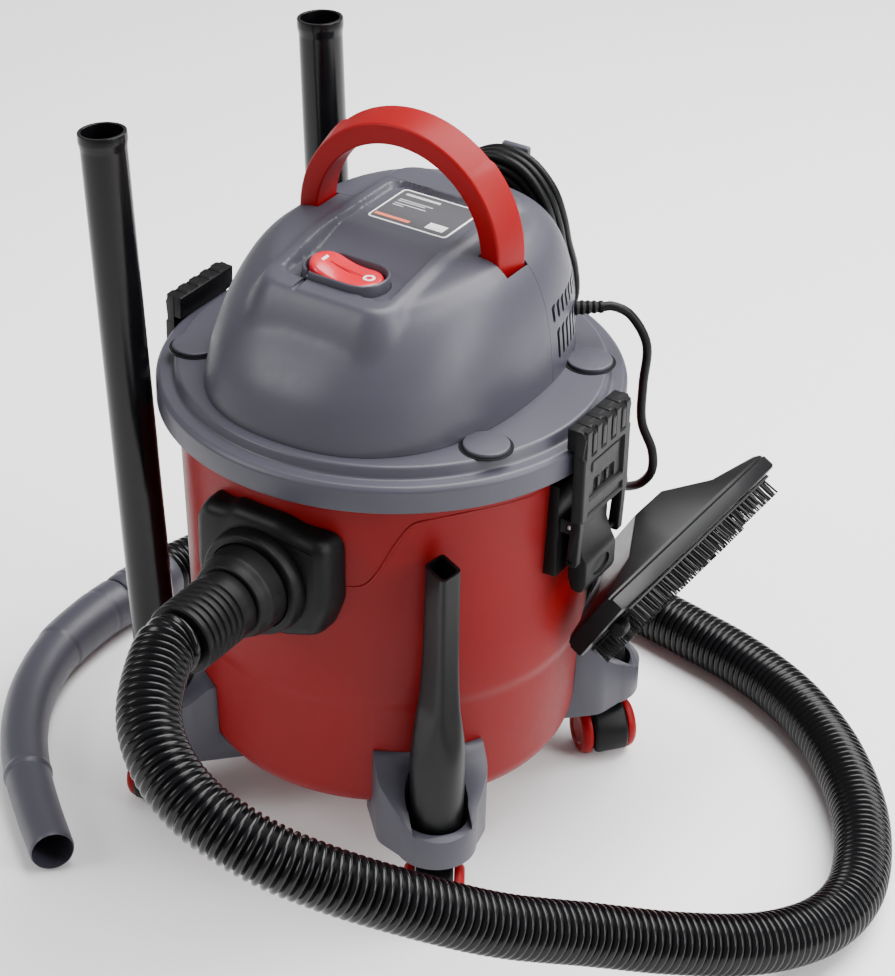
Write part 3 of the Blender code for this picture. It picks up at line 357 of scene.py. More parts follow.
drum_red = moulded("drum_red_plastic", (0.180, 0.0016, 0.0026), 0.44, 0.00003, 1100.0, 0.07, 0.18)
handle_red = moulded("handle_red_plastic", (0.225, 0.0012, 0.0030), 0.42, 0.00002, 1300.0, 0.06,
                     0.15)
switch_red = moulded("switch_red_plastic", (0.560, 0.0045, 0.0200), 0.24, 0.0, 1300.0, 0.04,
                     0.5)
slate_grey = moulded("slate_grey_plastic", (0.0440, 0.0430, 0.0580), 0.42, 0.00006, 1250.0,
                     0.06, 0.40)
matt_black = moulded("matt_black_plastic", (0.0020, 0.0020, 0.0026), 0.44, 0.00004, 1300.0,
                     0.10, 0.18)
satin_black = moulded("satin_black_plastic", (0.0020, 0.0020, 0.0026), 0.34, 0.0, 1300.0, 0.10,
                      0.25)
gloss_black = moulded("gloss_black_plastic", (0.0016, 0.0016, 0.0022), 0.22, 0.0, 900.0, 0.10,
                      0.25)
seal_rubber = moulded("seal_rubber", (0.0035, 0.0035, 0.0035), 0.60, 0.00002, 1500.0, 0.10, 0.15)
cord_rubber = moulded("cord_rubber", (0.0022, 0.0022, 0.0026), 0.42, 0.00001, 1800.0, 0.08,
                      0.18)

# %% [markdown]
# Steel pins and axles are ground, so their colour and gloss change over fine marks. Foam is an open-cell
# pattern, cut deep, and its pits are coloured darker than their walls as painted shade. Bristles are stiff
# black filament.

# %% Steel, foam, bristle and print
steel = Finish("ground_steel")
steel.surface(Base_Color=steel.between((0.42, 0.43, 0.45), (0.62, 0.63, 0.65), steel.noise(400.0)),
              Metallic=1.0, Roughness=steel.noise(220.0) * 0.2 + 0.22)
steel = steel.material
foam = Finish("open_cell_foam")
cell_pits_and_shade = foam.node("TexVoronoi", {}, {"Vector": foam.at, "Scale": 620.0}, 0)
# Painted shade: the pattern that sinks the pits also darkens them, where their own shade would fall.
foam.surface(Base_Color=foam.between((0.004, 0.004, 0.005), (0.040, 0.040, 0.045), cell_pits_and_shade), Roughness=0.9,
             Normal=foam.bump(cell_pits_and_shade, 0.0006))
foam = foam.material
bristle = moulded("bristle_filament", (0.0030, 0.0030, 0.0034), 0.42, 0.00002, 2400.0, 0.2)


def printed(name, colour, rough=0.32):
    """A flat ink or film with a very slow change of gloss."""
    finish = Finish(name)
    lighter = tuple(min(channel * 1.06 + 0.003, 1.0) for channel in colour)
    finish.surface(Base_Color=finish.between(colour, lighter, finish.noise(60.0)),
                   Roughness=finish.noise(90.0) * 0.1 + rough)
    return finish.material


film_dark = printed("dark_film", (0.052, 0.050, 0.056))
film_white = printed("white_print", (0.82, 0.82, 0.82))
film_pale = printed("pale_print", (0.42, 0.42, 0.44))
film_orange = printed("orange_print", (0.74, 0.16, 0.09))
mark_white = printed("switch_mark_white", (0.80, 0.76, 0.78), 0.25)

# %% [markdown]
# ## The suction hose
# The hose is a blown plastic tube with round ribs 6 mm apart, 44 mm across and 1.59 m long. It hangs from
# the front inlet, comes down round the right side and lies in a loose loop on the floor behind the
# machine. Its ribs are separate rings, so the radius is a function of the length alone: wide round crests
# and narrow valleys.

# %% Hose
HOSE_R, RIB_PITCH, RIB_DEEP, STEPS_A_RIB = 0.0219, 0.0060, 0.0026, 7
HOSE_ROUTE = [
    (0.000, -0.2603, 0.2660), (0.001, -0.2830, 0.2650), (0.012, -0.3080, 0.2600), (0.040, -0.3420, 0.2470),
    (0.080, -0.3590, 0.2300), (0.125, -0.3560, 0.2120), (0.166, -0.3360, 0.1910), (0.209, -0.2980, 0.1620),
    (0.249, -0.2490, 0.1280), (0.288, -0.1920, 0.0975), (0.330, -0.1370, 0.0700), (0.366, -0.0820, 0.0480),
    (0.386, -0.0250, 0.0320), (0.388, 0.0270, 0.0250), (0.373, 0.0770, 0.0225), (0.344, 0.1290, 0.0225),
    (0.297, 0.1830, 0.0225), (0.244, 0.2230, 0.0225), (0.188, 0.2480, 0.0225), (0.132, 0.2620, 0.0225),
    (0.060, 0.2750, 0.0225), (-0.020, 0.2800, 0.0225), (-0.100, 0.2700, 0.0225), (-0.170, 0.2420, 0.0225),
    (-0.228, 0.1980, 0.0225), (-0.266, 0.1480, 0.0225), (-0.282, 0.0900, 0.0225)]
GRIP_ROUTE = [
    (-0.2905, 0.0340, 0.0225), (-0.2925, 0.0000, 0.0220), (-0.2880, -0.0500, 0.0215),
    (-0.2700, -0.1020, 0.0210), (-0.2420, -0.1480, 0.0200), (-0.2080, -0.1860, 0.0190),
    (-0.1720, -0.2180, 0.0185), (-0.1320, -0.2500, 0.0185)]
hose_start, hose_end = np.array(HOSE_ROUTE[0]), np.array(HOSE_ROUTE[-1])
grip_way = np.array(GRIP_ROUTE[0]) - hose_end
grip_way /= np.linalg.norm(grip_way)
hose_knots = np.vstack([[hose_start, hose_start + (0, -0.018, 0)], smooth_route(HOSE_ROUTE, 0.030)[2:-2],
                        [hose_end - 0.018 * grip_way, hose_end]])
hose_path = smooth_route(hose_knots, RIB_PITCH / STEPS_A_RIB)
hose_along = np.arange(len(hose_path)) / STEPS_A_RIB * 2 * np.pi
valley = (0.5 + 0.5 * np.cos(hose_along)) ** 2
hose = piece("ribbed_hose", sweep(hose_path, circle(1.0, 32), HOSE_R - RIB_DEEP * valley), gloss_black,
             nodes=["hose"], sharp=80)

# %% [markdown]
# Each end of the hose is screwed into a stiff sleeve. The one at the machine has grip rings for the
# fingers; the one at the hand tube is a plain collar. Both are turned profiles.

# %% Hose sleeves
def sleeve_profile():
    """Inside, then a rounded end bead, six grip rings and a plain skirt, as (radius, distance)."""
    rings = [(0.0188, 0.2600), (0.0250, 0.2598), (0.0259, 0.2585), (0.0259, 0.2562), (0.0246, 0.2550)]
    for k in range(6):
        base = 0.2535 - k * 0.0064
        rings += [(0.0246, base), (0.0261, base - 0.0010), (0.0262, base - 0.0030), (0.0247, base - 0.0042)]
    return rings + [(0.0250, 0.2130), (0.0256, 0.2070), (0.0250, 0.2054), (0.0188, 0.2054)]


def to_front(surface):
    """A turned part stood so that its own Z points out of the inlet, towards -Y, at the inlet's height."""
    return placed(surface, (0, 0, 0.2660), (0, -1, 0))


hose_sleeve = piece("hose_sleeve", to_front(lathe(sleeve_profile(), 72, loop=True)), matt_black,
                    nodes=["hose_cuff"])
collar = [(0.0, 0.0550), (0.0195, 0.0548), (0.0205, 0.0535), (0.0212, 0.0500), (0.0214, 0.0440),
          (0.0221, 0.0432), (0.0222, 0.0100), (0.0219, 0.0016), (0.0212, 0.0003), (0.0, 0.0003)]
hand_collar = piece("hand_tube_collar", placed(lathe(collar, 72), hose_end, grip_way, (0, 0, 1)), slate_grey,
                    nodes=["handle_cuff"])

# %% [markdown]
# ## The power cord
# Five metres of 7 mm rubber cord leave the rear cover through a tapered relief, drop behind the right
# latch and are wound into a hank that hangs on the rear hook: twelve turns, three deep and four across.
# Each turn is a long loop, and the cord slips to the next lane while it rounds the lower bend. The last
# turn leaves over the top bend, comes out through the hank's middle and runs down into the plug.

# %% Power cord
CORD_R, TURN_SAMPLES, LAST_TURN_ENDS = 0.0035, 64, 732
RELIEF_WAY = np.array([0.78, 0.62, 0.0]) / np.hypot(0.78, 0.62)
RELIEF_AT = np.array([0.0900, 0.0880, 0.3930])
CORD_ROUTE = [
    (0.1300, 0.1185, 0.3850), (0.1420, 0.1220, 0.3630), (0.1415, 0.1210, 0.3300), (0.1430, 0.1200, 0.3000),
    (0.1530, 0.1200, 0.2790), (0.1540, 0.1202, 0.2610), (0.1450, 0.1225, 0.2460), (0.1320, 0.1290, 0.2350),
    (0.1210, 0.1410, 0.2260), (0.1110, 0.1570, 0.2230), (0.0970, 0.1710, 0.2340), (0.0790, 0.1810, 0.2580),
    (0.0600, 0.1840, 0.2850)]
HANK_HALF_WIDE, HANK_LOW, HANK_HIGH = 0.0465, 0.3010, 0.4710
HANK_PATH = np.array([(0.1494, 0.4790), (0.1498, 0.4500), (0.1512, 0.4390), (0.1560, 0.4270),
                      (0.1640, 0.4020), (0.1750, 0.3800), (0.1835, 0.3580), (0.1840, 0.2850)])
LANE = 0.00712
lanes = [(depth, across) for across in range(4) for depth in ((-1, 0, 1) if across % 2 == 0 else (1, 0, -1))]


def hank_turns(samples=TURN_SAMPLES):
    """All turns as one line: a long loop in XZ per turn, its lane eased to the next one over the lower bend."""
    depth, across = np.array(lanes, float).T
    t = np.arange(len(lanes) * samples) / samples
    turn, part = np.floor(t).astype(int), t % 1.0
    ease = np.clip((part - 0.62) / 0.33, 0, 1)
    ease = ease * ease * (3 - 2 * ease)
    following = np.minimum(turn + 1, len(lanes) - 1)
    depth = depth[turn] * (1 - ease) + depth[following] * ease
    across = across[turn] * (1 - ease) + across[following] * ease
    radius = HANK_HALF_WIDE - 0.0037 - across * LANE
    half_straight = (HANK_HIGH - HANK_LOW) / 2 - HANK_HALF_WIDE
    run, bend = 2 * half_straight, np.pi * radius
    place = part * 2 * (run + bend)
    up_right = np.clip(place, 0, run)
    over = np.clip(place - run, 0, bend) / radius
    down_left = np.clip(place - run - bend, 0, run)
    under = np.clip(place - 2 * run - bend, 0, bend) / radius
    angle = over + under
    x = radius * np.cos(angle)
    z = (HANK_LOW + HANK_HIGH) / 2 - half_straight + up_right - down_left + radius * np.sin(angle)
    order = np.argsort(HANK_PATH[:, 1])
    y = np.interp(z, HANK_PATH[order, 1], HANK_PATH[order, 0])
    slope = np.gradient(HANK_PATH[order, 0], HANK_PATH[order, 1])
    lean = np.interp(z, HANK_PATH[order, 1], slope)
    size = np.sqrt(1 + lean ** 2)
    return np.stack([x, y + depth * LANE / size, z - depth * LANE * lean / size], axis=1)


turns = hank_turns()
relief_end = RELIEF_AT + RELIEF_WAY * 0.0293
tail = [(-0.0192, 0.1462, 0.4300), (-0.0182, 0.1520, 0.4150), (-0.0146, 0.1630, 0.3970),
        (-0.0108, 0.1745, 0.3800), (-0.0070, 0.1865, 0.3600), (-0.0040, 0.1955, 0.3400),
        (-0.0015, 0.1985, 0.3230), (0.0, 0.1955, 0.3085), (0.0, 0.1885, 0.2960), (0.0, 0.1848, 0.2880),
        (0.0, 0.1840, 0.2790)]
cord_knots = np.vstack([[relief_end, relief_end + RELIEF_WAY * 0.008], CORD_ROUTE, [(0.0500, 0.1835, 0.3120)],
                        turns[3:LAST_TURN_ENDS:4], tail])
cord_path = smooth_route(cord_knots, 0.0050)
cord_length = float(np.linalg.norm(np.diff(cord_path, axis=0), axis=1).sum())
print("power cord length", round(cord_length, 3))
power_cord = piece("mains_cord", sweep(cord_path, circle(CORD_R, 12)), cord_rubber,
                   nodes=["power_cord", "cord_hank"], sharp=80)

# %% [markdown]
# The plug is a moulded two-pin one: a round body with a waist to grip, and two round pins. The relief is
# a soft taper with ring grooves, so that the cord can't be bent sharply where it leaves the cover.

# %% Plug and strain relief
def ringed(start, end, from_r, to_r, count, depth):
    """A taper with count ring grooves, as (radius, distance) points."""
    steps = np.linspace(0, 1, count * 6 + 1)
    radius = from_r + (to_r - from_r) * steps - depth * (0.5 - 0.5 * np.cos(steps * count * 2 * np.pi))
    return np.stack([radius, start + (end - start) * steps], axis=1)


relief_profile = np.vstack([[(0.0, -0.0060), (0.0062, -0.0060), (0.0062, 0.0040)],
                            ringed(0.0045, 0.0270, 0.0060, 0.0047, 5, 0.0009),
                            [(0.0044, 0.0290), (0.0, 0.0290)]])
strain_relief = piece("cord_relief", placed(lathe(relief_profile, 40), RELIEF_AT, RELIEF_WAY, (0, 0, 1)),
                      matt_black, nodes=["strain_relief"])
plug_profile = np.vstack([[(0.0, 0.0100), (0.0050, 0.0100)],
                          ringed(0.0105, 0.0200, 0.0056, 0.0072, 3, 0.0008),
                          rounded([(0.0072, 0.0202), (0.0150, 0.0215), (0.0172, 0.0290), (0.0160, 0.0330),
                                   (0.0182, 0.0372), (0.0, 0.0380)], 0.0012, 4, closed=False)[1:]])
PLUG_TOP = (0, HANK_PATH[-1][0], HANK_LOW - 0.0006)
pin = rounded([(0.0, 0.0376), (0.0024, 0.0376), (0.0024, 0.0568), (0.0, 0.0570)], 0.0009, 4, closed=False)
pin_points, pin_faces = lathe(pin, 20)
plug_surface = joined(lathe(plug_profile, 56),
                      *[(pin_points + (side * 0.0095, 0, 0), pin_faces) for side in (-1, 1)])
plug = piece("mains_plug", placed(plug_surface, PLUG_TOP, (0, 0, -1)), matt_black, nodes=["power_plug"])

# %% [markdown]
# ## The drum
# The drum is one thick red moulding: it widens slowly upwards so that it leaves its mould, steps out once
# a third of the way up, and turns in over a short cone to its floor. A turned profile with its corners
# eased gives all of that, and the suction hole is cut through the front wall.

# %% Drum
def rows_of(outline, rows):
    """Rings of one outline: each row is (how far the outline is moved in, its height)."""
    outline = np.asarray(outline, float)
    x, y = outline.T
    if (x * np.roll(y, -1) - np.roll(x, -1) * y).sum() < 0:
        outline = outline[::-1]
    return skin([np.column_stack([inset(outline, i), np.full(len(outline), z)]) for i, z in rows])


def rod(radius, low, high, steps=64):
    return lathe([(0, low), (radius, low), (radius, high), (0, high)], steps)


drum_profile = rounded([(0.0, 0.0657), (0.1353, 0.0657), (0.1428, 0.0777), (0.1460, 0.1560), (0.1483, 0.1640),
                        (0.1550, 0.3425), (0.1522, 0.3425), (0.1454, 0.1650), (0.1430, 0.1566),
                        (0.1398, 0.0790), (0.1335, 0.0687), (0.0, 0.0687)],
                       [0.001, 0.005, 0.005, 0.004, 0.004, 0.001, 0.001, 0.004, 0.004, 0.004, 0.004, 0.001],
                       6, closed=False)
drum = mesh_object("drum_shell", lathe(drum_profile, 180))
carve(drum, to_front(rod(0.0225, 0.120, 0.170)))
settle(drum, drum_red, "machine", ["drum"])

# %% [markdown]
# A raised crease starts beside the inlet, climbs in a lazy S and then runs level under the lid to the
# latch. It is carried along points on the drum's wall, given as radius, bearing and height.

# %% Drum crease
CREASE = np.array([(152.1, 19.3, 265.6), (152.1, 23.0, 265.4), (152.2, 26.4, 268.2), (152.6, 29.8, 279.9),
                   (153.5, 34.1, 303.0), (154.1, 37.8, 317.8), (154.2, 41.7, 322.2), (154.3, 53.5, 324.8),
                   (154.3, 68.3, 323.3), (154.2, 83.0, 320.9)])


def around(rho, degrees, z=0.0):
    """Point at distance rho from the drum's axis, its bearing counted from the front towards +X."""
    bearing = np.radians(degrees)
    return np.stack(np.broadcast_arrays(rho * np.sin(bearing), -rho * np.cos(bearing), z), axis=-1)


crease_path = smooth_route(around(CREASE[:, 0] / 1000 - 0.0002, CREASE[:, 1], CREASE[:, 2] / 1000), 0.0025)
crease_ends = np.sqrt(np.clip(1 - np.abs(np.linspace(-1, 1, len(crease_path))) ** 12, 0.02, 1))
piece("drum_crease", sweep(crease_path, circle(0.0010, 12), crease_ends), drum_red, sharp=80)

# %% [markdown]
# ## The lid
# The lid carries the motor. Its flange overhangs the drum's rim and a skirt drops inside the rim. Four
# round bosses stand on the deck; they cover the screws of the motor head. The groove round each boss is
# not cut: its shade is painted as a black ring, a thin matt black disc under the boss.

# %% Lid
lid_profile = rounded([(0.088, 0.3665), (0.155, 0.3665), (0.158, 0.358), (0.167, 0.358), (0.170, 0.355),
                       (0.170, 0.338), (0.160, 0.338), (0.160, 0.3465), (0.1495, 0.3465), (0.1495, 0.327),
                       (0.1465, 0.327), (0.1465, 0.3625), (0.092, 0.3625), (0.092, 0.340), (0.088, 0.340)],
                      [0.0008, 0.0022, 0.002, 0.0014, 0.0014, 0.0012] + [0.0006] * 9, 5)
piece("lid_shell", lathe(lid_profile, 180, loop=True), slate_grey, nodes=["lid"])
for number, bearing in enumerate((60, 120, -120, -60)):
    at = around(0.1420, bearing)
    boss = lathe(rounded([(0, 0.3655), (0.0165, 0.3655), (0.0165, 0.3696), (0, 0.3702)], 0.0012, 5,
                         closed=False), 64)
    # Painted shade: a thin matt black disc under the boss stands for the dark groove round it.
    groove = lathe([(0, 0.3660), (0.0190, 0.3660), (0.0190, 0.3670), (0, 0.3670)], 64)
    piece(f"lid_boss_{number + 1}", placed(boss, at), slate_grey)
    piece(f"painted_boss_groove_shade_{number + 1}", placed(groove, at), matt_black)

# %% [markdown]
# ## The motor head
# The head is one smooth form over a rounded rectangle: steep sides, a long sloping front and a nearly
# flat top. Each ring of it is the base outline pulled in and lifted by an amount that differs for the
# front, the sides and the back. On top sits a raised tongue with a sunken channel for the label and the
# switch. The tongue is added to the height as a smooth maximum, and the channel is taken away again.

# %% Head surface
HEAD_BASE, HEAD_HALF_X, HEAD_FRONT, HEAD_BACK, HEAD_POWER = 0.3668, 0.1170, 0.1470, 0.1500, 2.35
HEAD_ROWS = [  # inset at the front, side, back; height at the front, side, back
    (0.0000, 0.0000, 0.0000, 0.0000, 0.0000, 0.0000), (0.0035, 0.0015, 0.0010, 0.0130, 0.0180, 0.0200),
    (0.0110, 0.0045, 0.0030, 0.0310, 0.0380, 0.0420), (0.0230, 0.0100, 0.0070, 0.0470, 0.0600, 0.0620),
    (0.0380, 0.0190, 0.0150, 0.0620, 0.0790, 0.0790), (0.0530, 0.0300, 0.0270, 0.0750, 0.0910, 0.0900),
    (0.0680, 0.0420, 0.0450, 0.0830, 0.0965, 0.0960), (0.1080, 0.0700, 0.0850, 0.0850, 0.0980, 0.0985)]
TONGUE_HALF, TONGUE_BACK, SEAM_Y = 0.0520, 0.0690, 0.0305


def box_distance(x, y, half, low, high, corner):
    """Signed distance to a rectangle |x| < half, low < y < high, with rounded corners; negative inside."""
    across = np.abs(x) - half + corner
    along = np.abs(y - (low + high) / 2) - (high - low) / 2 + corner
    outside = np.hypot(np.maximum(across, 0), np.maximum(along, 0))
    return outside + np.minimum(np.maximum(across, along), 0) - corner


def smoothstep(value):
    value = np.clip(value, 0, 1)
    return value * value * (3 - 2 * value)


def head_height(x, y, z):
    """The body's height raised to the tongue where that is higher, then lowered inside the channel."""
    rim = 0.4562 + 0.0103 * smoothstep((y + 0.088) / 0.075)
    edge = box_distance(x, y, TONGUE_HALF, -0.0930, 0.0980, 0.0170)
    out = 0.5 * (edge + np.sqrt(edge ** 2 + 0.0026 ** 2))
    tongue = rim - 1.1 * out - 42.0 * out ** 2
    raised = 0.5 * (z + tongue + np.sqrt((z - tongue) ** 2 + 0.0030 ** 2))
    floor_at = 0.4532 + 0.0098 * smoothstep((y + 0.047) / 0.050)
    wall = box_distance(x, y, 0.0445, -0.0790, TONGUE_BACK, 0.0120)
    return raised - np.maximum(raised - floor_at, 0) * smoothstep(-wall / 0.0030)


def head_rings(count, fine, shrink=0.0):
    """Rings from the base outline to the middle of the top."""
    turn = (np.arange(count) + 0.5) * 2 * np.pi / count
    c, s = np.cos(turn), np.sin(turn)
    length = np.where(s < 0, HEAD_FRONT, HEAD_BACK)
    outline = (np.abs(c / HEAD_HALF_X) ** HEAD_POWER + np.abs(s / length) ** HEAD_POWER) ** (-1 / HEAD_POWER)
    share = np.stack([np.clip(-s, 0, 1) ** 2, 1 - s ** 2, np.clip(s, 0, 1) ** 2])
    rows = through(HEAD_ROWS, 4 * fine)
    rows = np.vstack([rows[:24 * fine:3], rows[24 * fine:]])
    reach = outline - rows[:, :3] @ share - shrink
    z = HEAD_BASE + rows[:, 3:] @ share
    to_middle = np.linspace(1, 0.004, 9 * fine)[1:, None]
    reach = np.vstack([reach, reach[-1] * to_middle])
    z = np.vstack([z, z[-1] * to_middle + (HEAD_BASE + 0.0990) * (1 - to_middle)])
    x, y = reach * c, reach * s
    z = head_height(x, y, z) - shrink * smoothstep((z - HEAD_BASE) / 0.01)
    return np.stack([x, y, z], axis=-1)


outer, inner = head_rings(400, 6), head_rings(400, 2, 0.0026)
head_shell = skin(np.concatenate([inner[::-1], outer]))
print("head shell", len(head_shell[0]), "points")

# %% [markdown]
# The head is parted behind the carry handle: the front cover keeps the tongue, the rear cover has the
# cooling slots and the cord hook. Cutting one shell with two prisms that leave 0.3 mm between them gives
# covers that match exactly. The pockets, the switch opening and the slots are cut in the same way.

# %% Covers
def seam_plan(far, gap=0.0):
    """Plan of everything beyond the parting line, which steps back round the tongue."""
    half, back, line = TONGUE_HALF + 0.0001 + gap, TONGUE_BACK + gap, SEAM_Y + gap
    return np.array([(-0.3, far), (-0.3, line), (-half, line), (-half, back), (half, back), (half, line),
                     (0.3, line), (0.3, far)])


def box(low, high, edge=0.0002):
    (x0, y0, z0), (x1, y1, z1) = low, high
    return plate([(x0, y0), (x1, y0), (x1, y1), (x0, y1)], z0, z1, edge, 2)


def obround(half_long, half_wide, count=24):
    """Outline with straight sides and round ends, long way along X."""
    turn = np.linspace(-np.pi / 2, np.pi / 2, count)
    right = np.stack([half_wide * np.cos(turn) + half_long - half_wide, half_wide * np.sin(turn)], axis=1)
    return np.vstack([right, -right])


def mirrored(surface):
    return surface[0] * (-1, 1, 1), [face[::-1] for face in surface[1]]


SWITCH_AT = np.array([0.0, -0.0600, 0.4560])
front_cover = mesh_object("front_cover_shell", head_shell)
rear_cover = mesh_object("rear_cover_shell", head_shell)
carve(front_cover, rows_of(seam_plan(0.3), [(0, 0.2), (0, 0.7)]))
carve(rear_cover, rows_of(seam_plan(-0.3, 0.0003), [(0, 0.2), (0, 0.7)]))
carve(front_cover, placed(plate(obround(0.0334, 0.0204), -0.03, 0.03, 0.0002), SWITCH_AT))
carve(front_cover, joined(*[box((side * 0.07925 - 0.0122, 0.0034, 0.4330),
                                (side * 0.07925 + 0.0122, 0.0320, 0.5000))
                            for side in (-1, 1)]))
carve(front_cover, box((-0.0225, -0.0960, 0.4535), (-0.0188, -0.0780, 0.4800), 0.0010))


def louvre(y, low, high, half=0.0019):
    """One cooling slot through the side wall, leaning with the wall, its top hooked towards the back."""
    outline = rounded([(-half, low), (half, low), (half, high - 0.003), (half + 0.0022, high - 0.001),
                       (half + 0.0022, high + 0.0014), (-half, high)], 0.0014, 4)
    points, faces = plate(outline, 0.080, 0.140, 0.0002, 2)
    return stand(points, (0, y, 0), (1, 0, 0), (0, 1, 0)), faces


bank = [louvre(0.0405 + 0.0086 * k, 0.4085, 0.4200) for k in range(7)]
bank += [louvre(0.0440 + 0.0086 * k, 0.3790, 0.4010) for k in range(7)]
carve(rear_cover, joined(*bank))
carve(rear_cover, joined(*[mirrored(slot) for slot in bank]))
hook = rounded([(0.1290, 0.4300), (0.1692, 0.4300), (0.1692, 0.4690), (0.1634, 0.4690), (0.1634, 0.4370),
                (0.1290, 0.4370)], [0.0002, 0.0040, 0.0025, 0.0025, 0.0020, 0.0002], 5)
hook_points, hook_faces = plate(hook, -0.0115, 0.0115, 0.0016)
carve(rear_cover, (stand(hook_points, (0, 0, 0), (1, 0, 0), (0, 1, 0)), hook_faces), "UNION")
for cover, node in ((front_cover, "front_cover"), (rear_cover, "rear_cover")):
    settle(cover, slate_grey, "machine", [node], sharp=38)
    print(node, len(cover.data.polygons), "faces")

# %% [markdown]
# ## Carry handle
# The handle is a thick arch whose back edge stands higher than its front edge, so the hand finds a
# rounded, tilted grip. Its section, four corners eased, is carried up one leg, round half a circle and
# down the other leg. Two small steps in the back edge mark where the arch meets its legs.

# %% Handle
ARCH_Z, ARCH_FOOT = 0.4600, 0.4370
arch_section = rounded([(0.0685, 0.0040), (0.0685, 0.0300), (0.0900, 0.0300), (0.0835, 0.0040)],
                       [0.0016, 0.0016, 0.0022, 0.0022], 6)
drop = np.linspace(ARCH_FOOT - ARCH_Z, 0, 8)[:-1]
sweep_angle = np.linspace(0, np.pi, 121)
angle = np.concatenate([np.zeros(7), sweep_angle, np.full(7, np.pi)])
lift = np.concatenate([drop, np.zeros(121), drop[::-1]])
notch = smoothstep((np.sin(angle) - 0.72) / 0.012)
edge_share = smoothstep((arch_section[:, 0] - 0.0780) / 0.008) * smoothstep((arch_section[:,
                                                                                          1] - 0.018) / 0.010)
reach = arch_section[None, :, 0] - 0.0016 * notch[:, None] * edge_share
arch = np.stack([reach * np.cos(angle)[:, None], np.broadcast_to(arch_section[:, 1], reach.shape),
                 ARCH_Z + lift[:, None] + reach * np.sin(angle)[:, None]], axis=-1)
piece("arch_handle", skin(arch), handle_red, nodes=["carry_handle"], sharp=50)

# %% [markdown]
# ## Switch
# A long rocker tips in an oval collar. The collar is one outline walked down the inside; the rocker has
# a saddle in its top, which is a squared cosine along its length, and it lies tipped towards "off".
# The line and the ring that mark on and off are thin inlays that follow the same saddle.

# %% Switch
collar_rows = [(0.0004, -0.0115), (0.0, 0.0040), (0.0006, 0.0056), (0.0016, 0.0062), (0.0024, 0.0056),
               (0.0030, 0.0040), (0.0030, -0.0080), (0.0060, -0.0085)]
switch_collar = piece("switch_collar", placed(rows_of(obround(0.0330, 0.0200), collar_rows), SWITCH_AT),
                      slate_grey, nodes=["switch_body"])
carve(switch_collar, box((-0.0222, -0.0840, 0.4575), (-0.0191, -0.0740, 0.4700)))
ROCKER_HALF, ROCKER_LEAN = 0.0283, np.radians(8)


def on_rocker(surface):
    """Saddle the top, tip the rocker about its middle and set it in the collar."""
    points, faces = surface
    share = np.clip((points[:, 2] + 0.0040) / 0.0105, 0, 1)
    sag = 0.0032 * np.cos(np.pi / 2 * np.clip(points[:, 0] / ROCKER_HALF, -1, 1)) ** 2 * share
    sunk = points - np.stack([0 * sag, 0 * sag, sag], axis=1)
    tip = np.array([[np.cos(ROCKER_LEAN), 0, -np.sin(ROCKER_LEAN)], [0, 1, 0],
                    [np.sin(ROCKER_LEAN), 0, np.cos(ROCKER_LEAN)]])
    return sunk @ tip + SWITCH_AT, faces


rocker_rows = [(0.0010, -0.0055), (0.0, -0.0035), (0.0, 0.0030), (0.0003, 0.0046), (0.0012, 0.0060),
               (0.0026, 0.0068), (0.0045, 0.0072), (0.0080, 0.0075), (0.0120, 0.0076), (0.0152, 0.0076)]
rocker_outline = obround(ROCKER_HALF, 0.0155, 40)
rocker_outline = np.vstack([rocker_outline, rocker_outline[:1]])
fine_obround = evenly(np.column_stack([rocker_outline, np.zeros(len(rocker_outline))]), 0.0009)[:-1, :2]
piece("rocker_button", on_rocker(rows_of(fine_obround, rocker_rows)), switch_red, "rocker", ["switch_rocker"],
      sharp=50)
bar = plate(rounded([(-0.0197, -0.0036), (-0.0175, -0.0036), (-0.0175, 0.0036), (-0.0197, 0.0036)], 0.0003,
                    3),
            0.0066, 0.00785, 0.0001, 2)
ring_points, ring_faces = lathe([(0.0025, 0.0066), (0.0043, 0.0066), (0.0043, 0.00785), (0.0025, 0.00785)],
                                40, loop=True)
piece("switch_marks", on_rocker(joined(bar, (ring_points + (0.0180, 0, 0), ring_faces))), mark_white,
      "rocker")

# %% [markdown]
# ## Rating label
# The label is a dark film with a white border, a few pale lines where its data would be, an orange strip
# and a small bar pattern. The lines are plain bars and say nothing.

# %% Label
LABEL_AT = (0.0, 0.0400, 0.4630)
LABEL_HALF = (0.0330, 0.0255)


def bar_at(x0, x1, y0, y1, low=0.0003, high=0.00058):
    """A thin printed bar, in the label's own X and Y."""
    return box((x0, y0, low), (x1, y1, high), 0.00005)


def sheet_of(half_x, half_y, corner, low, high):
    return plate(rounded([(-half_x, -half_y), (half_x, -half_y), (half_x, half_y), (-half_x, half_y)], corner,
                         6),
                 low, high, 0.0001, 2)


piece("label_border", placed(sheet_of(*LABEL_HALF, 0.0040, -0.0010, 0.00025), LABEL_AT), film_white)
piece("rating_film", placed(sheet_of(LABEL_HALF[0] - 0.0014, LABEL_HALF[1] - 0.0014, 0.0030, -0.0008, 0.0004),
                            LABEL_AT),
      film_dark, nodes=["rating_plate"])
lines = [bar_at(-0.0270, 0.0020, 0.0165, 0.0195)] + [bar_at(-0.0270, end, y, y + 0.0011) for end, y in (
    (0.0010, 0.0085), (-0.0040, 0.0060), (-0.0010, 0.0020), (-0.0180, -0.0010))]
piece("label_lines", placed(joined(*lines), LABEL_AT), film_pale)
piece("label_strip", placed(bar_at(-0.0300, -0.0010, -0.0205, -0.0170), LABEL_AT), film_orange)
piece("label_code", placed(bar_at(0.0120, 0.0265, -0.0195, -0.0105), LABEL_AT), film_white)
stripes = [bar_at(0.0132 + 0.0019 * k, 0.0139 + 0.0019 * k, -0.0188, -0.0112, 0.0004,
                  0.00064) for k in range(7)]
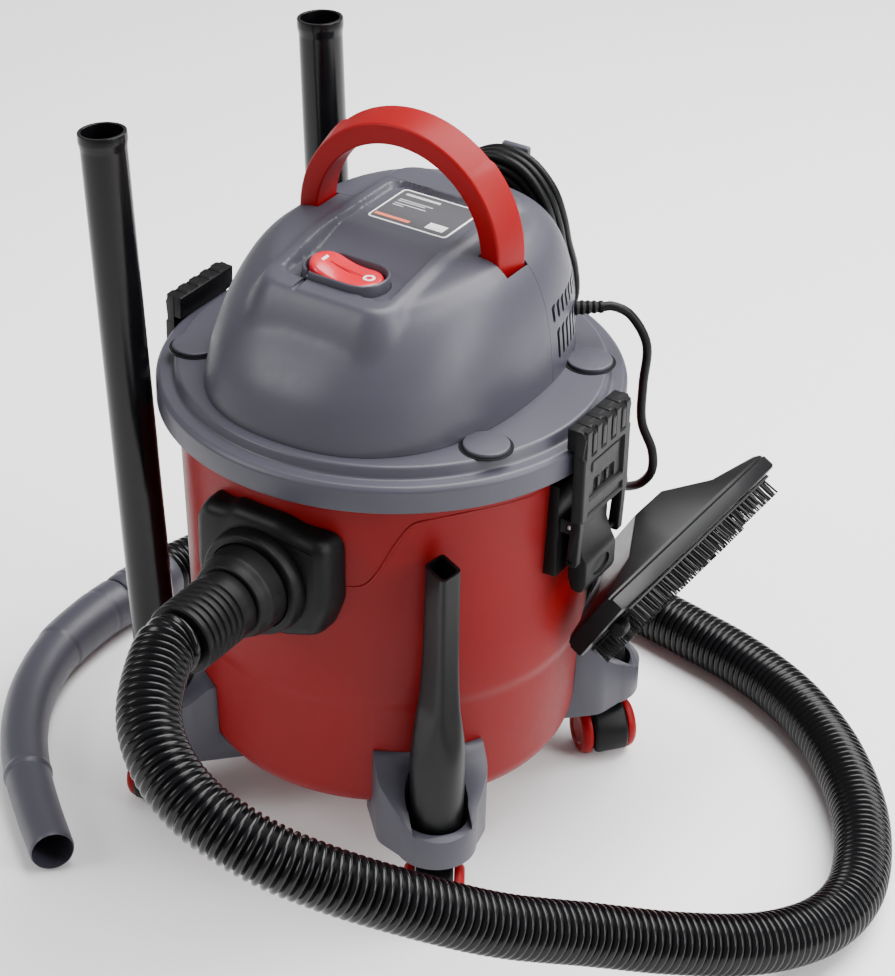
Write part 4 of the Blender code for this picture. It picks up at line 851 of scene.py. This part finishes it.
piece("code_stripes", placed(joined(*stripes), LABEL_AT), film_pale)

# %% [markdown]
# ## Inlet and hose connector
# A chunky black housing is screwed to the drum's front; the hose's bayonet end turns in its collar. The
# housing is one rounded outline that grows out of the drum, with the collar turned on top of it.

# %% Inlet
INLET_OUTLINE = [(-0.047, 0.047), (-0.056, 0.034), (-0.056, -0.010), (-0.048, -0.034), (-0.020, -0.044),
                 (0.020, -0.044), (0.048, -0.034), (0.056, -0.010), (0.056, 0.036), (0.050, 0.045),
                 (0.030, 0.047), (0.016, 0.052), (-0.022, 0.052), (-0.030, 0.047)]
inlet = mesh_object("inlet_collar_housing", to_front(rows_of(rounded(INLET_OUTLINE, 0.006, 5), [
    (0.0, 0.1350), (0.0, 0.1560), (0.0006, 0.1600), (0.0022, 0.1645), (0.0050, 0.1676), (0.0085, 0.1690)])))
carve(inlet, to_front(lathe(rounded([(0, 0.140), (0.0415, 0.140), (0.0400, 0.1740), (0.0385, 0.1800),
                                     (0, 0.1800)],
                                    0.0016, 5, closed=False), 96)), "UNION")
carve(inlet, to_front(rod(0.0335, 0.1540, 0.20, 96)))
carve(inlet, to_front(rod(0.0240, 0.10, 0.20)))
carve(inlet, lathe([(0, 0.1), (0.1500, 0.1), (0.1553, 0.3400), (0, 0.3400)], 180))
settle(inlet, matt_black, "machine", ["inlet_housing"])
connector_profile = rounded([(0.0185, 0.2050), (0.0280, 0.2050), (0.0300, 0.1990), (0.0318, 0.1950),
                             (0.0330, 0.1700), (0.0330, 0.1545), (0.0220, 0.1545), (0.0220, 0.1380),
                             (0.0185, 0.1380)], 0.0012, 5)
piece("bayonet_connector", to_front(lathe(connector_profile, 96, loop=True)), matt_black, "connector",
      ["hose_connector"])

# %% [markdown]
# ## Extension tubes
# Two straight tubes, 33 mm across and almost half a metre long, stand in the feet. Each is slim for the
# lowest 50 mm, where it pushes into the next one, and has a bead round its open top.

# %% Tubes
TUBE_R, TUBE_LONG, TUBE_WALL = 0.0165, 0.48, 0.0018
TUBE_FEET = {"left": around(0.1740, -45, 0.0655), "back": around(0.1740, -135, 0.0655)}
TUBE_LEAN = {"left": (-0.083, 0.012, 0.9965), "back": (-0.062, 0.018, 0.998)}
slim = TUBE_R - 0.0020
tube_profile = rounded([(TUBE_R - TUBE_WALL, TUBE_LONG), (TUBE_R + 0.0008, TUBE_LONG),
                        (TUBE_R + 0.0010, TUBE_LONG - 0.006), (TUBE_R, TUBE_LONG - 0.012), (TUBE_R, 0.060),
                        (slim, 0.052), (slim, 0.0), (slim - TUBE_WALL, 0.0), (slim - TUBE_WALL, 0.052),
                        (TUBE_R - TUBE_WALL, 0.060)], 0.0006, 4)
for tag, foot in TUBE_FEET.items():
    piece(f"straight_tube_{tag}", placed(lathe(tube_profile, 72, loop=True), foot, TUBE_LEAN[tag]),
          gloss_black, f"tube_{tag}", [f"extension_tube_{tag}"])

# %% [markdown]
# ## Crevice tool
# The crevice tool is round where it fits the tube and flattens to a narrow slanted mouth. Rows give the
# height, how round the section is and its two half widths; the section between a circle and a rounded
# rectangle is a superellipse.

# %% Crevice tool
CREVICE_ROWS = [(0.0, 1.0, 0.0190, 0.0190), (0.030, 1.0, 0.0195, 0.0195), (0.060, 1.0, 0.0200, 0.0200),
                (0.078, 0.9, 0.0188, 0.0196), (0.100, 0.45, 0.0136, 0.0172), (0.118, 0.18, 0.0101, 0.0152),
                (0.150, 0.12, 0.0085, 0.0138), (0.190, 0.12, 0.0081, 0.0133), (0.230, 0.12, 0.0078, 0.0128)]


def crevice_rings(thinner, rows):
    turn = np.arange(96) * 2 * np.pi / 96
    z, roundness, half_a, half_b = through(rows, 6).T[:, :, None]
    power = 2.0 / (0.22 + 0.78 * np.clip(roundness, 0, 1))
    c, s = np.cos(turn), np.sin(turn)
    scale = (np.abs(c) ** power + np.abs(s) ** power) ** (-1 / power)
    a, b = (half_a - thinner) * scale * c, (half_b - thinner) * scale * s
    facing = np.radians(64)
    slant = 0.35 * a * smoothstep((z - 0.20) / 0.03)
    return np.stack([a * np.cos(facing) - b * np.sin(facing), a * np.sin(facing) + b * np.cos(facing),
                     z + slant], axis=-1)


crevice = np.concatenate([crevice_rings(0, CREVICE_ROWS), crevice_rings(0.0020, CREVICE_ROWS)[::-1]])
piece("crevice_nozzle", placed(skin(crevice, loop=True), around(0.1720, 45, 0.0640)), satin_black, "crevice",
      ["crevice_tool"], sharp=45)

# %% [markdown]
# ## Hand tube
# The bent hand tube lies on the floor at the hose's end. It thins towards its mouth, with a soft step
# where the grip ends and a bead before the slim end.

# %% Hand tube
grip_line = smooth_route(GRIP_ROUTE, 0.0020)
grip_share = np.linspace(0, 1, len(grip_line))
GRIP_THICK, GRIP_SLIM = 0.0212, 0.0181
grip_radius = GRIP_THICK + (GRIP_SLIM - GRIP_THICK) * grip_share
grip_line[:, 2] = grip_radius + 0.0004
end_step = 0.0012 * smoothstep((grip_share - 0.735) / 0.004)
grip_step = 0.0009 * smoothstep((grip_share - 0.235) / 0.004) * (1 - smoothstep((grip_share - 0.715) / 0.006))
rim_ease = 0.0012 * (1 - smoothstep(grip_share / 0.006)) + 0.0008 * smoothstep((grip_share - 0.994) / 0.006)
groove = (0.0010 * np.exp(-((grip_share - 0.735) / 0.0035) ** 2)
          + 0.0007 * np.exp(-((grip_share - 0.060) / 0.004) ** 2))
grip_radius = grip_radius - end_step - grip_step - rim_ease - groove
hand_tube = mesh_object("hand_tube", sweep(grip_line, circle(1.0, 64), grip_radius))
mouth_way = grip_line[-3] - grip_line[-1]
carve(hand_tube, placed(rod(0.0157, -0.010, 0.050), grip_line[-1], mouth_way, (0, 0, 1)))
settle(hand_tube, slate_grey, "machine", ["grip_handle"], sharp=40)

# %% [markdown]
# ## Casters
# Each corner runs on a twin-wheel caster: a black hood over the axle and a red disc wheel on each side.
# The wheel is a turned profile with a rounded tread and a dished face.

# %% Casters
CORNERS = {"front_right": 45, "back_right": 135, "back_left": -135, "front_left": -45}
HEADING = {"front_right": 31, "back_right": 50, "back_left": -150, "front_left": 10}
WHEEL_R, WHEEL_IN, WHEEL_OUT, TRAIL = 0.0205, 0.0144, 0.0224, 0.0120
wheel_profile = rounded([(0.0031, WHEEL_IN), (WHEEL_R - 0.0002, WHEEL_IN), (WHEEL_R, 0.0185),
                         (WHEEL_R - 0.0035, WHEEL_OUT), (0.0120, WHEEL_OUT - 0.0004),
                         (0.0105, WHEEL_OUT - 0.0014), (0.0, WHEEL_OUT - 0.0012), (0.0, 0.0209),
                         (0.0031, 0.0209)], [0.0004, 0.0012, 0.0030, 0.0020, 0.0010, 0.0010, 0, 0, 0.0002], 6)
hood_turn = np.radians(np.linspace(-25, 205, 40))
hood_outline = rounded(0.0235 * np.stack([np.cos(hood_turn), np.sin(hood_turn)], axis=1), 0.0004, 2)
for tag, degrees in CORNERS.items():
    heading = np.radians(HEADING[tag])
    trail_way = np.array([np.sin(heading), -np.cos(heading), 0.0])
    across = np.array([np.cos(heading), np.sin(heading), 0.0])
    hub = around(0.1710, degrees, 0.0) + TRAIL * trail_way + (0, 0, WHEEL_R)
    swivel = around(0.1710, degrees, 0.0)
    for wheel, way in (("a", -across), ("b", across)):
        piece(f"wheel_disc_{wheel}_{tag}", placed(lathe(wheel_profile, 64, loop=True), hub, way, (0, 0, 1)),
              handle_red, f"wheels_{tag}", [f"caster_wheel_{wheel}_{tag}"])
    hood = mesh_object(f"wheel_hood_{tag}", placed(plate(hood_outline, -0.0138, 0.0138, 0.0030, 6), hub,
                                                   across, -trail_way))
    carve(hood, placed(lathe(rounded([(0, 0.030), (0.0110, 0.030), (0.0110, 0.0508), (0.0040, 0.0512),
                                      (0.0040, 0.0590), (0, 0.0590)], 0.0006, 4, closed=False), 48), swivel),
          "UNION")
    carve(hood, placed(rod(0.0031, -0.03, 0.03, 32), hub, across, -trail_way))
    settle(hood, matt_black, f"caster_{tag}", [f"caster_hood_{tag}"], sharp=40)

# %% [markdown]
# ## Latches
# Two over-centre latches pull the lid down. The clasp is the ribbed hood over the flange's edge: its
# outside is one height map with rounded rims, four thumb ribs, a sunk panel and a window that shows the
# pin. The lever below it ends in a tongue with an oval finger rest.

# %% Latches
PIVOT, CLASP_PIN, FLANGE_TOP = np.array([0.1660, 0.2920]), np.array([0.1720, 0.2700]), 0.3580


def relief(across, up, height, back):
    """Closed block: the front of a grid stands at height, the back at `back`. Its axes are across, up, out."""
    y, z = np.meshgrid(across, up, indexing="ij")
    front = np.stack([y, z, height(y, z)], axis=-1)
    rear = np.stack([y, z, np.full_like(y, back)], axis=-1)
    rows, columns = y.shape
    index = np.arange(rows * columns).reshape(rows, columns)
    cell = np.stack([index[:-1, :-1], index[1:, :-1], index[1:, 1:], index[:-1, 1:]], axis=-1).reshape(-1, 4)
    rim = np.concatenate([index[:-1, 0], index[-1, :-1], index[:0:-1, -1], index[0, :0:-1]])
    onward, shift = np.roll(rim, -1), rows * columns
    side = np.stack([rim + shift, onward + shift, onward, rim], axis=-1)
    faces = np.vstack([cell, cell[:, ::-1] + shift, side])
    return np.concatenate([front.reshape(-1, 3), rear.reshape(-1, 3)]), faces.tolist()


def inside(y, z, centre, half, corner):
    """Distance inside a rounded rectangle given by its middle and half sizes, negative outside."""
    return -box_distance(y - centre[0], z, half[0], centre[1] - half[1], centre[1] + half[1], corner)


CLASP_STEPS = [  # middle, half sizes and corner of each field; how far it is raised, over what width
    ((0, 0.3330), (0.0245, 0.0165), 0.0030, -0.0024, 0.0010),
    ((0, 0.3420), (0.0190, 0.0045), 0.0020, 0.0011, 0.0008),
    ((0, 0.3245), (0.0150, 0.0062), 0.0015, -0.0022, 0.0008),
    ((-0.0060, 0.3245), (0.0022, 0.0044), 0.0010, 0.0020, 0.0008),
    ((0.0060, 0.3245), (0.0022, 0.0044), 0.0010, 0.0020, 0.0008),
    ((0, 0.3075), (0.0250, 0.0040), 0.0020, -0.0018, 0.0010)]
CLASP_FACE, CLASP_EDGE, RIB_SPACING, RIB_FROM = 0.1771, 0.0024, 0.0135, 0.3535


def clasp_height(y, z):
    """How far out the clasp's face stands: a rounded rim, then the ribs and each sunk or raised field."""
    edge = np.clip(inside(y, z, (0, 0.3385), (0.0332, 0.0376), 0.0040), 0, CLASP_EDGE)
    out = CLASP_FACE + np.sqrt(np.maximum(CLASP_EDGE ** 2 - (CLASP_EDGE - edge) ** 2, 0))
    rib_wave = smoothstep((np.cos(y * 2 * np.pi / RIB_SPACING) + 0.25) / 0.5)
    out -= 0.0016 * smoothstep((z - RIB_FROM) / 0.0012) * (1 - rib_wave)
    for centre, half, corner, raised, ease in CLASP_STEPS:
        out += raised * smoothstep(inside(y, z, centre, half, corner) / ease)
    return out


def latch_side(surface, side):
    """From (across, up, out) at the drum axis to the machine: side is +1 on the right, -1 on the left."""
    points, faces = surface
    across, up, out = points.T
    return np.stack([side * out, side * across, up], axis=1), faces


def latch_slab(outline, half, edge):
    """An outline of (out, up) points, extruded both ways across."""
    points, faces = plate(outline, -half, half, edge)
    return points[:, [2, 1, 0]], [face[::-1] for face in faces]


def pin_rod(radius, half, at):
    points, faces = rod(radius, -half, half, 32)
    points = points[:, [2, 1, 0]] + (0, at[1], at[0])
    return points, [face[::-1] for face in faces]


lever_turn = np.radians(np.linspace(0, 180, 19))
lever_eye = 0.0048 * np.stack([np.cos(lever_turn), np.sin(lever_turn)], axis=1)
lever_tongue = [(-0.0048, -0.0010), (-0.0022, -0.0100), (-0.0022, -0.0450), (0.0015, -0.0550),
                (0.0100, -0.0550), (0.0130, -0.0490), (0.0130, -0.0290), (0.0095, -0.0240), (0.0048, -0.0120)]
lever_outline = PIVOT + np.vstack([lever_eye, rounded(lever_tongue, 0.0030, 5, closed=False)])
lip_outline = rounded([(0.1645, FLANGE_TOP + 0.0008), (0.1714, FLANGE_TOP + 0.0008), (0.1714, 0.3500),
                       (0.1770, 0.3500), (0.1790, 0.3700), (0.1765, 0.3752), (0.1720, 0.3760),
                       (0.1645, 0.3760)], 0.0010, 4)
arm_outline = CLASP_PIN + rounded([(-0.0040, -0.0050), (0.0050, -0.0050), (0.0068, 0.0360),
                                   (-0.0008, 0.0360)], 0.0030, 5)
rib_outline = rounded([(0.1652, 0.3700), (0.1652, 0.3766), (0.1765, 0.3766), (0.1800, 0.3710),
                       (0.1800, 0.3560), (0.1785, 0.3560)], 0.0010, 4)
finger_rest = circle(1.0, 40) * (0.0125, 0.0070) + (0, 0.2530)
clasp_block = relief(np.linspace(-0.0330, 0.0330, 133), np.linspace(0.3010, 0.3758, 151), clasp_height,
                     0.1710)
for side, tag in ((1, "right"), (-1, "left")):
    clasp = mesh_object(f"latch_hood_{tag}", latch_side(clasp_block, side))
    carve(clasp, latch_side(latch_slab(lip_outline, 0.0326, 0.0008), side), "UNION")
    for y in (-0.0299, 0.0299):
        points, faces = latch_slab(arm_outline, 0.0030, 0.0008)
        carve(clasp, latch_side((points + (y, 0, 0), faces), side), "UNION")
    for y in (-0.0203, -0.0068, 0.0068, 0.0203):
        points, faces = latch_slab(rib_outline, 0.0026, 0.0006)
        carve(clasp, latch_side((points + (y, 0, 0), faces), side), "UNION")
    carve(clasp, latch_side(pin_rod(0.0023, 0.05, CLASP_PIN), side))
    settle(clasp, matt_black, body_of[f"latch_clasp_{tag}"], [f"latch_clasp_{tag}"], sharp=38)
    lever = mesh_object(f"latch_tongue_{tag}", latch_side(latch_slab(lever_outline, 0.0215, 0.0014), side))
    carve(lever, latch_side(pin_rod(0.0023, 0.05, PIVOT), side))
    carve(lever, latch_side(pin_rod(0.0020, 0.0320, CLASP_PIN), side), "UNION")
    carve(lever, latch_side(plate(finger_rest, 0.1772, 0.1850, 0.0002), side))
    settle(lever, matt_black, body_of[f"latch_lever_{tag}"], [f"latch_lever_{tag}"], sharp=38)

# %% [markdown]
# ## Floor brush
# The floor brush stands in a cup by its bent neck. Its hood is a long roof: the outline across it keeps
# six corners, and rows along it raise the ridge towards the middle. The bristles are tufts of filament
# set in a bar, with a small gap after each tuft.

# %% Floor brush
HEAD_CORNER, HEAD_LONG, HEAD_DEEP, HEAD_LIP = np.array([0.1865, 0.0, 0.2295]), 0.2400, 0.0650, 0.0160
HEAD_OUT = np.array([0.86, 0.0, -0.51]) / np.hypot(0.86, 0.51)
HEAD_IN = np.array([-0.51, 0.0, -0.86]) / np.hypot(0.86, 0.51)
BRUSH_NECK = [around(0.1710, 135, 0.0640), around(0.1710, 135, 0.1080), (0.1380, 0.1207, 0.1520),
              (0.1530, 0.1200, 0.1880), (0.1650, 0.1200, 0.2060)]


def in_head(out, inward, along):
    """A point of the head: out with the bristles, in towards the drum, and along the length."""
    return (HEAD_CORNER + np.multiply.outer(out, HEAD_OUT) + np.multiply.outer(inward, HEAD_IN)
            + np.multiply.outer(along, (0, 1.0, 0)))


HOOD_ROWS = [(0.0, 0.0, 0.0060), (0.004, 0.0010, 0.0064), (0.055, 0.0100, 0.0090), (0.100, 0.0300, 0.0140),
             (0.140, 0.0300, 0.0140), (0.185, 0.0100, 0.0090), (0.236, 0.0010, 0.0064),
             (HEAD_LONG, 0.0, 0.0060)]
rings = []
for along, rise, pull in HOOD_ROWS:
    tuck = 0.0012 if along in (0.0, HEAD_LONG) else 0.0
    ring = rounded([(HEAD_LIP - tuck, tuck), (HEAD_LIP - tuck, HEAD_DEEP - tuck), (0.0050, HEAD_DEEP - tuck),
                    (0.0040, HEAD_DEEP - 0.0022 - tuck), (0.0020, HEAD_DEEP - 0.0022 - tuck),
                    (-rise + tuck, HEAD_DEEP - pull), (-rise + tuck, pull), (0.0020, 0.0022 + tuck),
                    (0.0040, 0.0022 + tuck), (0.0050, tuck)], 0.0012, 4)
    rings.append(in_head(ring[:, 0], ring[:, 1], np.full(len(ring), along)))
brush_hood = mesh_object("brush_hood", skin(rings))
carve(brush_hood, sweep(smooth_route(BRUSH_NECK, 0.0030), circle(0.0190, 64)), "UNION")
hollow = []
for along, depth, margin in ((0.006, 0.0055, 0.0145), (0.090, -0.006, 0.0165), (0.150, -0.006, 0.0165),
                             (0.234, 0.0055, 0.0145)):
    ring = rounded([(HEAD_LIP + 0.01, margin), (HEAD_LIP + 0.01, HEAD_DEEP - margin),
                    (depth, HEAD_DEEP - margin - 0.002), (depth, margin + 0.002)], 0.0020, 4)
    hollow.append(in_head(ring[:, 0], ring[:, 1], np.full(len(ring), along)))
carve(brush_hood, skin(hollow))
carve(brush_hood, placed(rod(0.0160, -0.010, 0.040, 48), BRUSH_NECK[0]))
settle(brush_hood, satin_black, body_of["brush_body"], ["brush_body"], sharp=30)

tuft_at = np.arange(0.0130, 0.2280, 0.0062)
splay = np.random.default_rng(11).normal(0, 0.0004, (2, len(tuft_at), 7, 2))
seven = np.vstack([[(0, 0)], circle(1.0, 6)]) * (0.0021, 0.0030)
for row, (tag, inward) in enumerate((("front", 0.0030), ("rear", HEAD_DEEP - 0.0120))):
    middle = inward + 0.0045
    bar = rounded([(HEAD_LIP + 0.0003, middle - 0.0024), (HEAD_LIP + 0.0003, middle + 0.0024),
                   (HEAD_LIP + 0.0030, middle + 0.0030), (HEAD_LIP + 0.0030, middle - 0.0030)], 0.0004, 3)
    parts = [skin([in_head(bar[:, 0], bar[:, 1], np.full(len(bar), y)) for y in (0.010, 0.230)])]
    thin = circle(0.00062, 6)
    for number, along in enumerate(tuft_at):
        for k, (step_in, step_along) in enumerate(seven):
            lean_in, lean_along = splay[row, number, k]
            rings = []
            for out, fan, slim in ((0.0025, 0.80, 1.0), (0.0100, 1.05, 1.0), (0.0163, 1.35, 0.72)):
                sideways = middle + step_in * fan + lean_in * fan + thin[:, 0] * slim
                lengthways = along + step_along * fan * 0.62 + lean_along * fan + thin[:, 1] * slim
                rings.append(in_head(np.full(6, HEAD_LIP + out), sideways, lengthways))
            parts.append(skin(rings))
    piece(f"bristle_tufts_{tag}", joined(*parts), bristle, body_of[f"bristle_strip_{tag}"],
          [f"bristle_strip_{tag}"], sharp=60)

# %% [markdown]
# ## Feet
# Each foot is a wedge against the drum. Its front is a half-round cup that holds a tool, with a lowered
# mouth so that the tool drops in from outside.

# %% Feet
FOOT_RHO, CUP_R, CUP_FLOOR, CUP_LIP, FOOT_LOW, FOOT_TOP = 0.1710, 0.0230, 0.0630, 0.0790, 0.0520, 0.1200


def eased(made, edge, angle):
    """Loose triangles merged, flat faces joined, and every edge sharper than `angle` rounded by a bevel."""
    weld = made.modifiers.new("merge", "WELD")
    weld.merge_threshold = 1e-6
    flat = made.modifiers.new("flatten", "DECIMATE")
    flat.decimate_type, flat.angle_limit = "DISSOLVE", np.radians(0.6)
    bevel = made.modifiers.new("round", "BEVEL")
    bevel.width, bevel.segments, bevel.limit_method, bevel.angle_limit = edge, 2, "ANGLE", np.radians(angle)
    graph = bpy.context.evaluated_depsgraph_get()
    made.data = bpy.data.meshes.new_from_object(made.evaluated_get(graph))
    made.modifiers.clear()


drum_clearance = lathe([(0, 0.0654), (0.1356, 0.0654), (0.1431, 0.0776), (0.1463, 0.1559), (0.1486, 0.1640),
                        (0.1553, 0.3425), (0.1553, 0.4200), (0, 0.4200)], 180)
cup_turn = np.radians(np.linspace(195, 345, 31))
cup_arc = (CUP_R + 0.0070) * np.stack([np.cos(cup_turn), np.sin(cup_turn)], axis=1) - (0, FOOT_RHO)
foot_plan = np.vstack([rounded([(-0.0400, -0.118), (-0.0410, -0.160), cup_arc[0]], 0.0060, 6, closed=False),
                       cup_arc[1:-1],
                       rounded([cup_arc[-1], (0.0410, -0.160), (0.0400, -0.118)], 0.0060, 6, closed=False)])
slope_line = rounded([(-0.100, 0.1212), (-0.142, 0.1205), (-0.160, 0.1060), (-0.1780, 0.0880),
                      (-0.205, 0.0750), (-0.240, 0.0750), (-0.240, 0.160), (-0.100, 0.160)],
                     [0.001, 0.006, 0.012, 0.014, 0.008, 0, 0, 0], 8)
slope_cut = plate(slope_line, -0.08, 0.08, 0.0005)
slope_cut = slope_cut[0][:, [2, 0, 1]], slope_cut[1]
mouth_plan = rounded([(-CUP_R + 0.001, -0.06), (CUP_R - 0.001, -0.06), (CUP_R - 0.001, 0),
                      (-CUP_R + 0.001, 0)], 0.001, 3)
for tag, degrees in CORNERS.items():
    turn = np.radians(degrees)
    spin = np.array([np.cos(turn), np.sin(turn), 0.0])

    def set_foot(surface, offset=0.0):
        return placed((surface[0] - (0, offset, 0), surface[1]), (0, 0, 0), (0, 0, 1), spin)

    foot = mesh_object(f"foot_cup_{tag}", set_foot(plate(foot_plan, FOOT_LOW, FOOT_TOP, 0.0015)))
    for tool in (set_foot(slope_cut), set_foot(rod(CUP_R, CUP_FLOOR, 0.160, 64), FOOT_RHO),
                 set_foot(plate(mouth_plan, CUP_LIP, 0.160, 0.0004), FOOT_RHO),
                 set_foot(rod(0.0043, 0.040, 0.060, 32), FOOT_RHO), drum_clearance):
        carve(foot, tool)
    eased(foot, 0.0008, 36)
    settle(foot, slate_grey, "machine", [f"foot_{tag}"], sharp=40)

# %% [markdown]
# ## What stays from the engineering model
# The remaining solids have the right shape already. A moulded part never has knife edges, though, so a
# copy of each gets its loose triangles merged, its flat faces joined and its edges rounded by a bevel.

# %% Round the plain solids
def softened(node, finish):
    """A copy of a solid with its edges rounded and its small facets shaded smooth."""
    made = bpy.data.objects.new(node + "_piece", frame["nodes"][node].data.copy())
    bpy.context.scene.collection.objects.link(made)
    eased(made, 0.0006, 34)
    return settle(made, finish, body_of[node], [node], sharp=40)


PLAIN_FINISHES = {"caster_axle": steel, "latch_pin": steel, "impeller": steel, "filter_sleeve": foam,
                  "lid_seal": seal_rubber}


def finish_for(node):
    return next((finish for start, finish in PLAIN_FINISHES.items() if node.startswith(start)), matt_black)


plain = [node for node, solid in frame["nodes"].items() if not solid.hide_render]
for node in plain:
    softened(node, finish_for(node))
print("softened", len(plain), "solids:", *plain)

# %% [markdown]
# ## Studio
# A pale floor lies under the machine. The main light is a broad soft one above and a little behind, so
# that tops shine and fronts stay deep. A second on the right draws the round forms, a small one at the
# front left opens the shadows, and an even surround fills what is left.

# %% Floor and light
floor_size = 6.0
floor = mesh_object("floor", (np.array([(-1, -1, 0), (1, -1, 0), (1, 1, 0), (-1, 1, 0)]) * floor_size
                              - (0, 0, 0.0006), [[0, 1, 2, 3]]))
pale = Finish("pale_floor")
pale.surface(Base_Color=pale.between((0.90, 0.90, 0.90), (0.93, 0.93, 0.93), pale.noise(3.0)), Roughness=0.85)
floor.data.materials.append(pale.material)


def softbox(name, at, aim, width, height, power):
    """An area light at one point, facing another."""
    light = bpy.data.lights.new(name, "AREA")
    light.shape, light.size, light.size_y, light.energy = "RECTANGLE", width, height, power
    made = bpy.data.objects.new(name, light)
    away = np.array(at, float) - aim
    matrix = np.eye(4)
    matrix[:3, :3] = stand(np.eye(3), (0, 0, 0), away, (0.31, 0.95, 0.02)).T
    matrix[:3, 3] = AXIS + at
    made.matrix_world = Matrix(matrix)
    bpy.context.scene.collection.objects.link(made)


softbox("top_light", (0.5, 0.9, 2.3), (0, 0, 0.25), 2.4, 2.0, 180.0)
softbox("right_light", (2.0, 0.2, 1.3), (0, 0, 0.30), 0.9, 1.6, 45.0)
softbox("front_light", (-1.6, -1.8, 1.9), (0, 0, 0.20), 1.2, 1.0, 36.0)
world = bpy.data.worlds.new("surround")
world.use_nodes = True
world.node_tree.nodes["Background"].inputs["Color"].default_value = (1.0, 1.0, 1.0, 1.0)
world.node_tree.nodes["Background"].inputs["Strength"].default_value = 0.45
bpy.context.scene.world = world
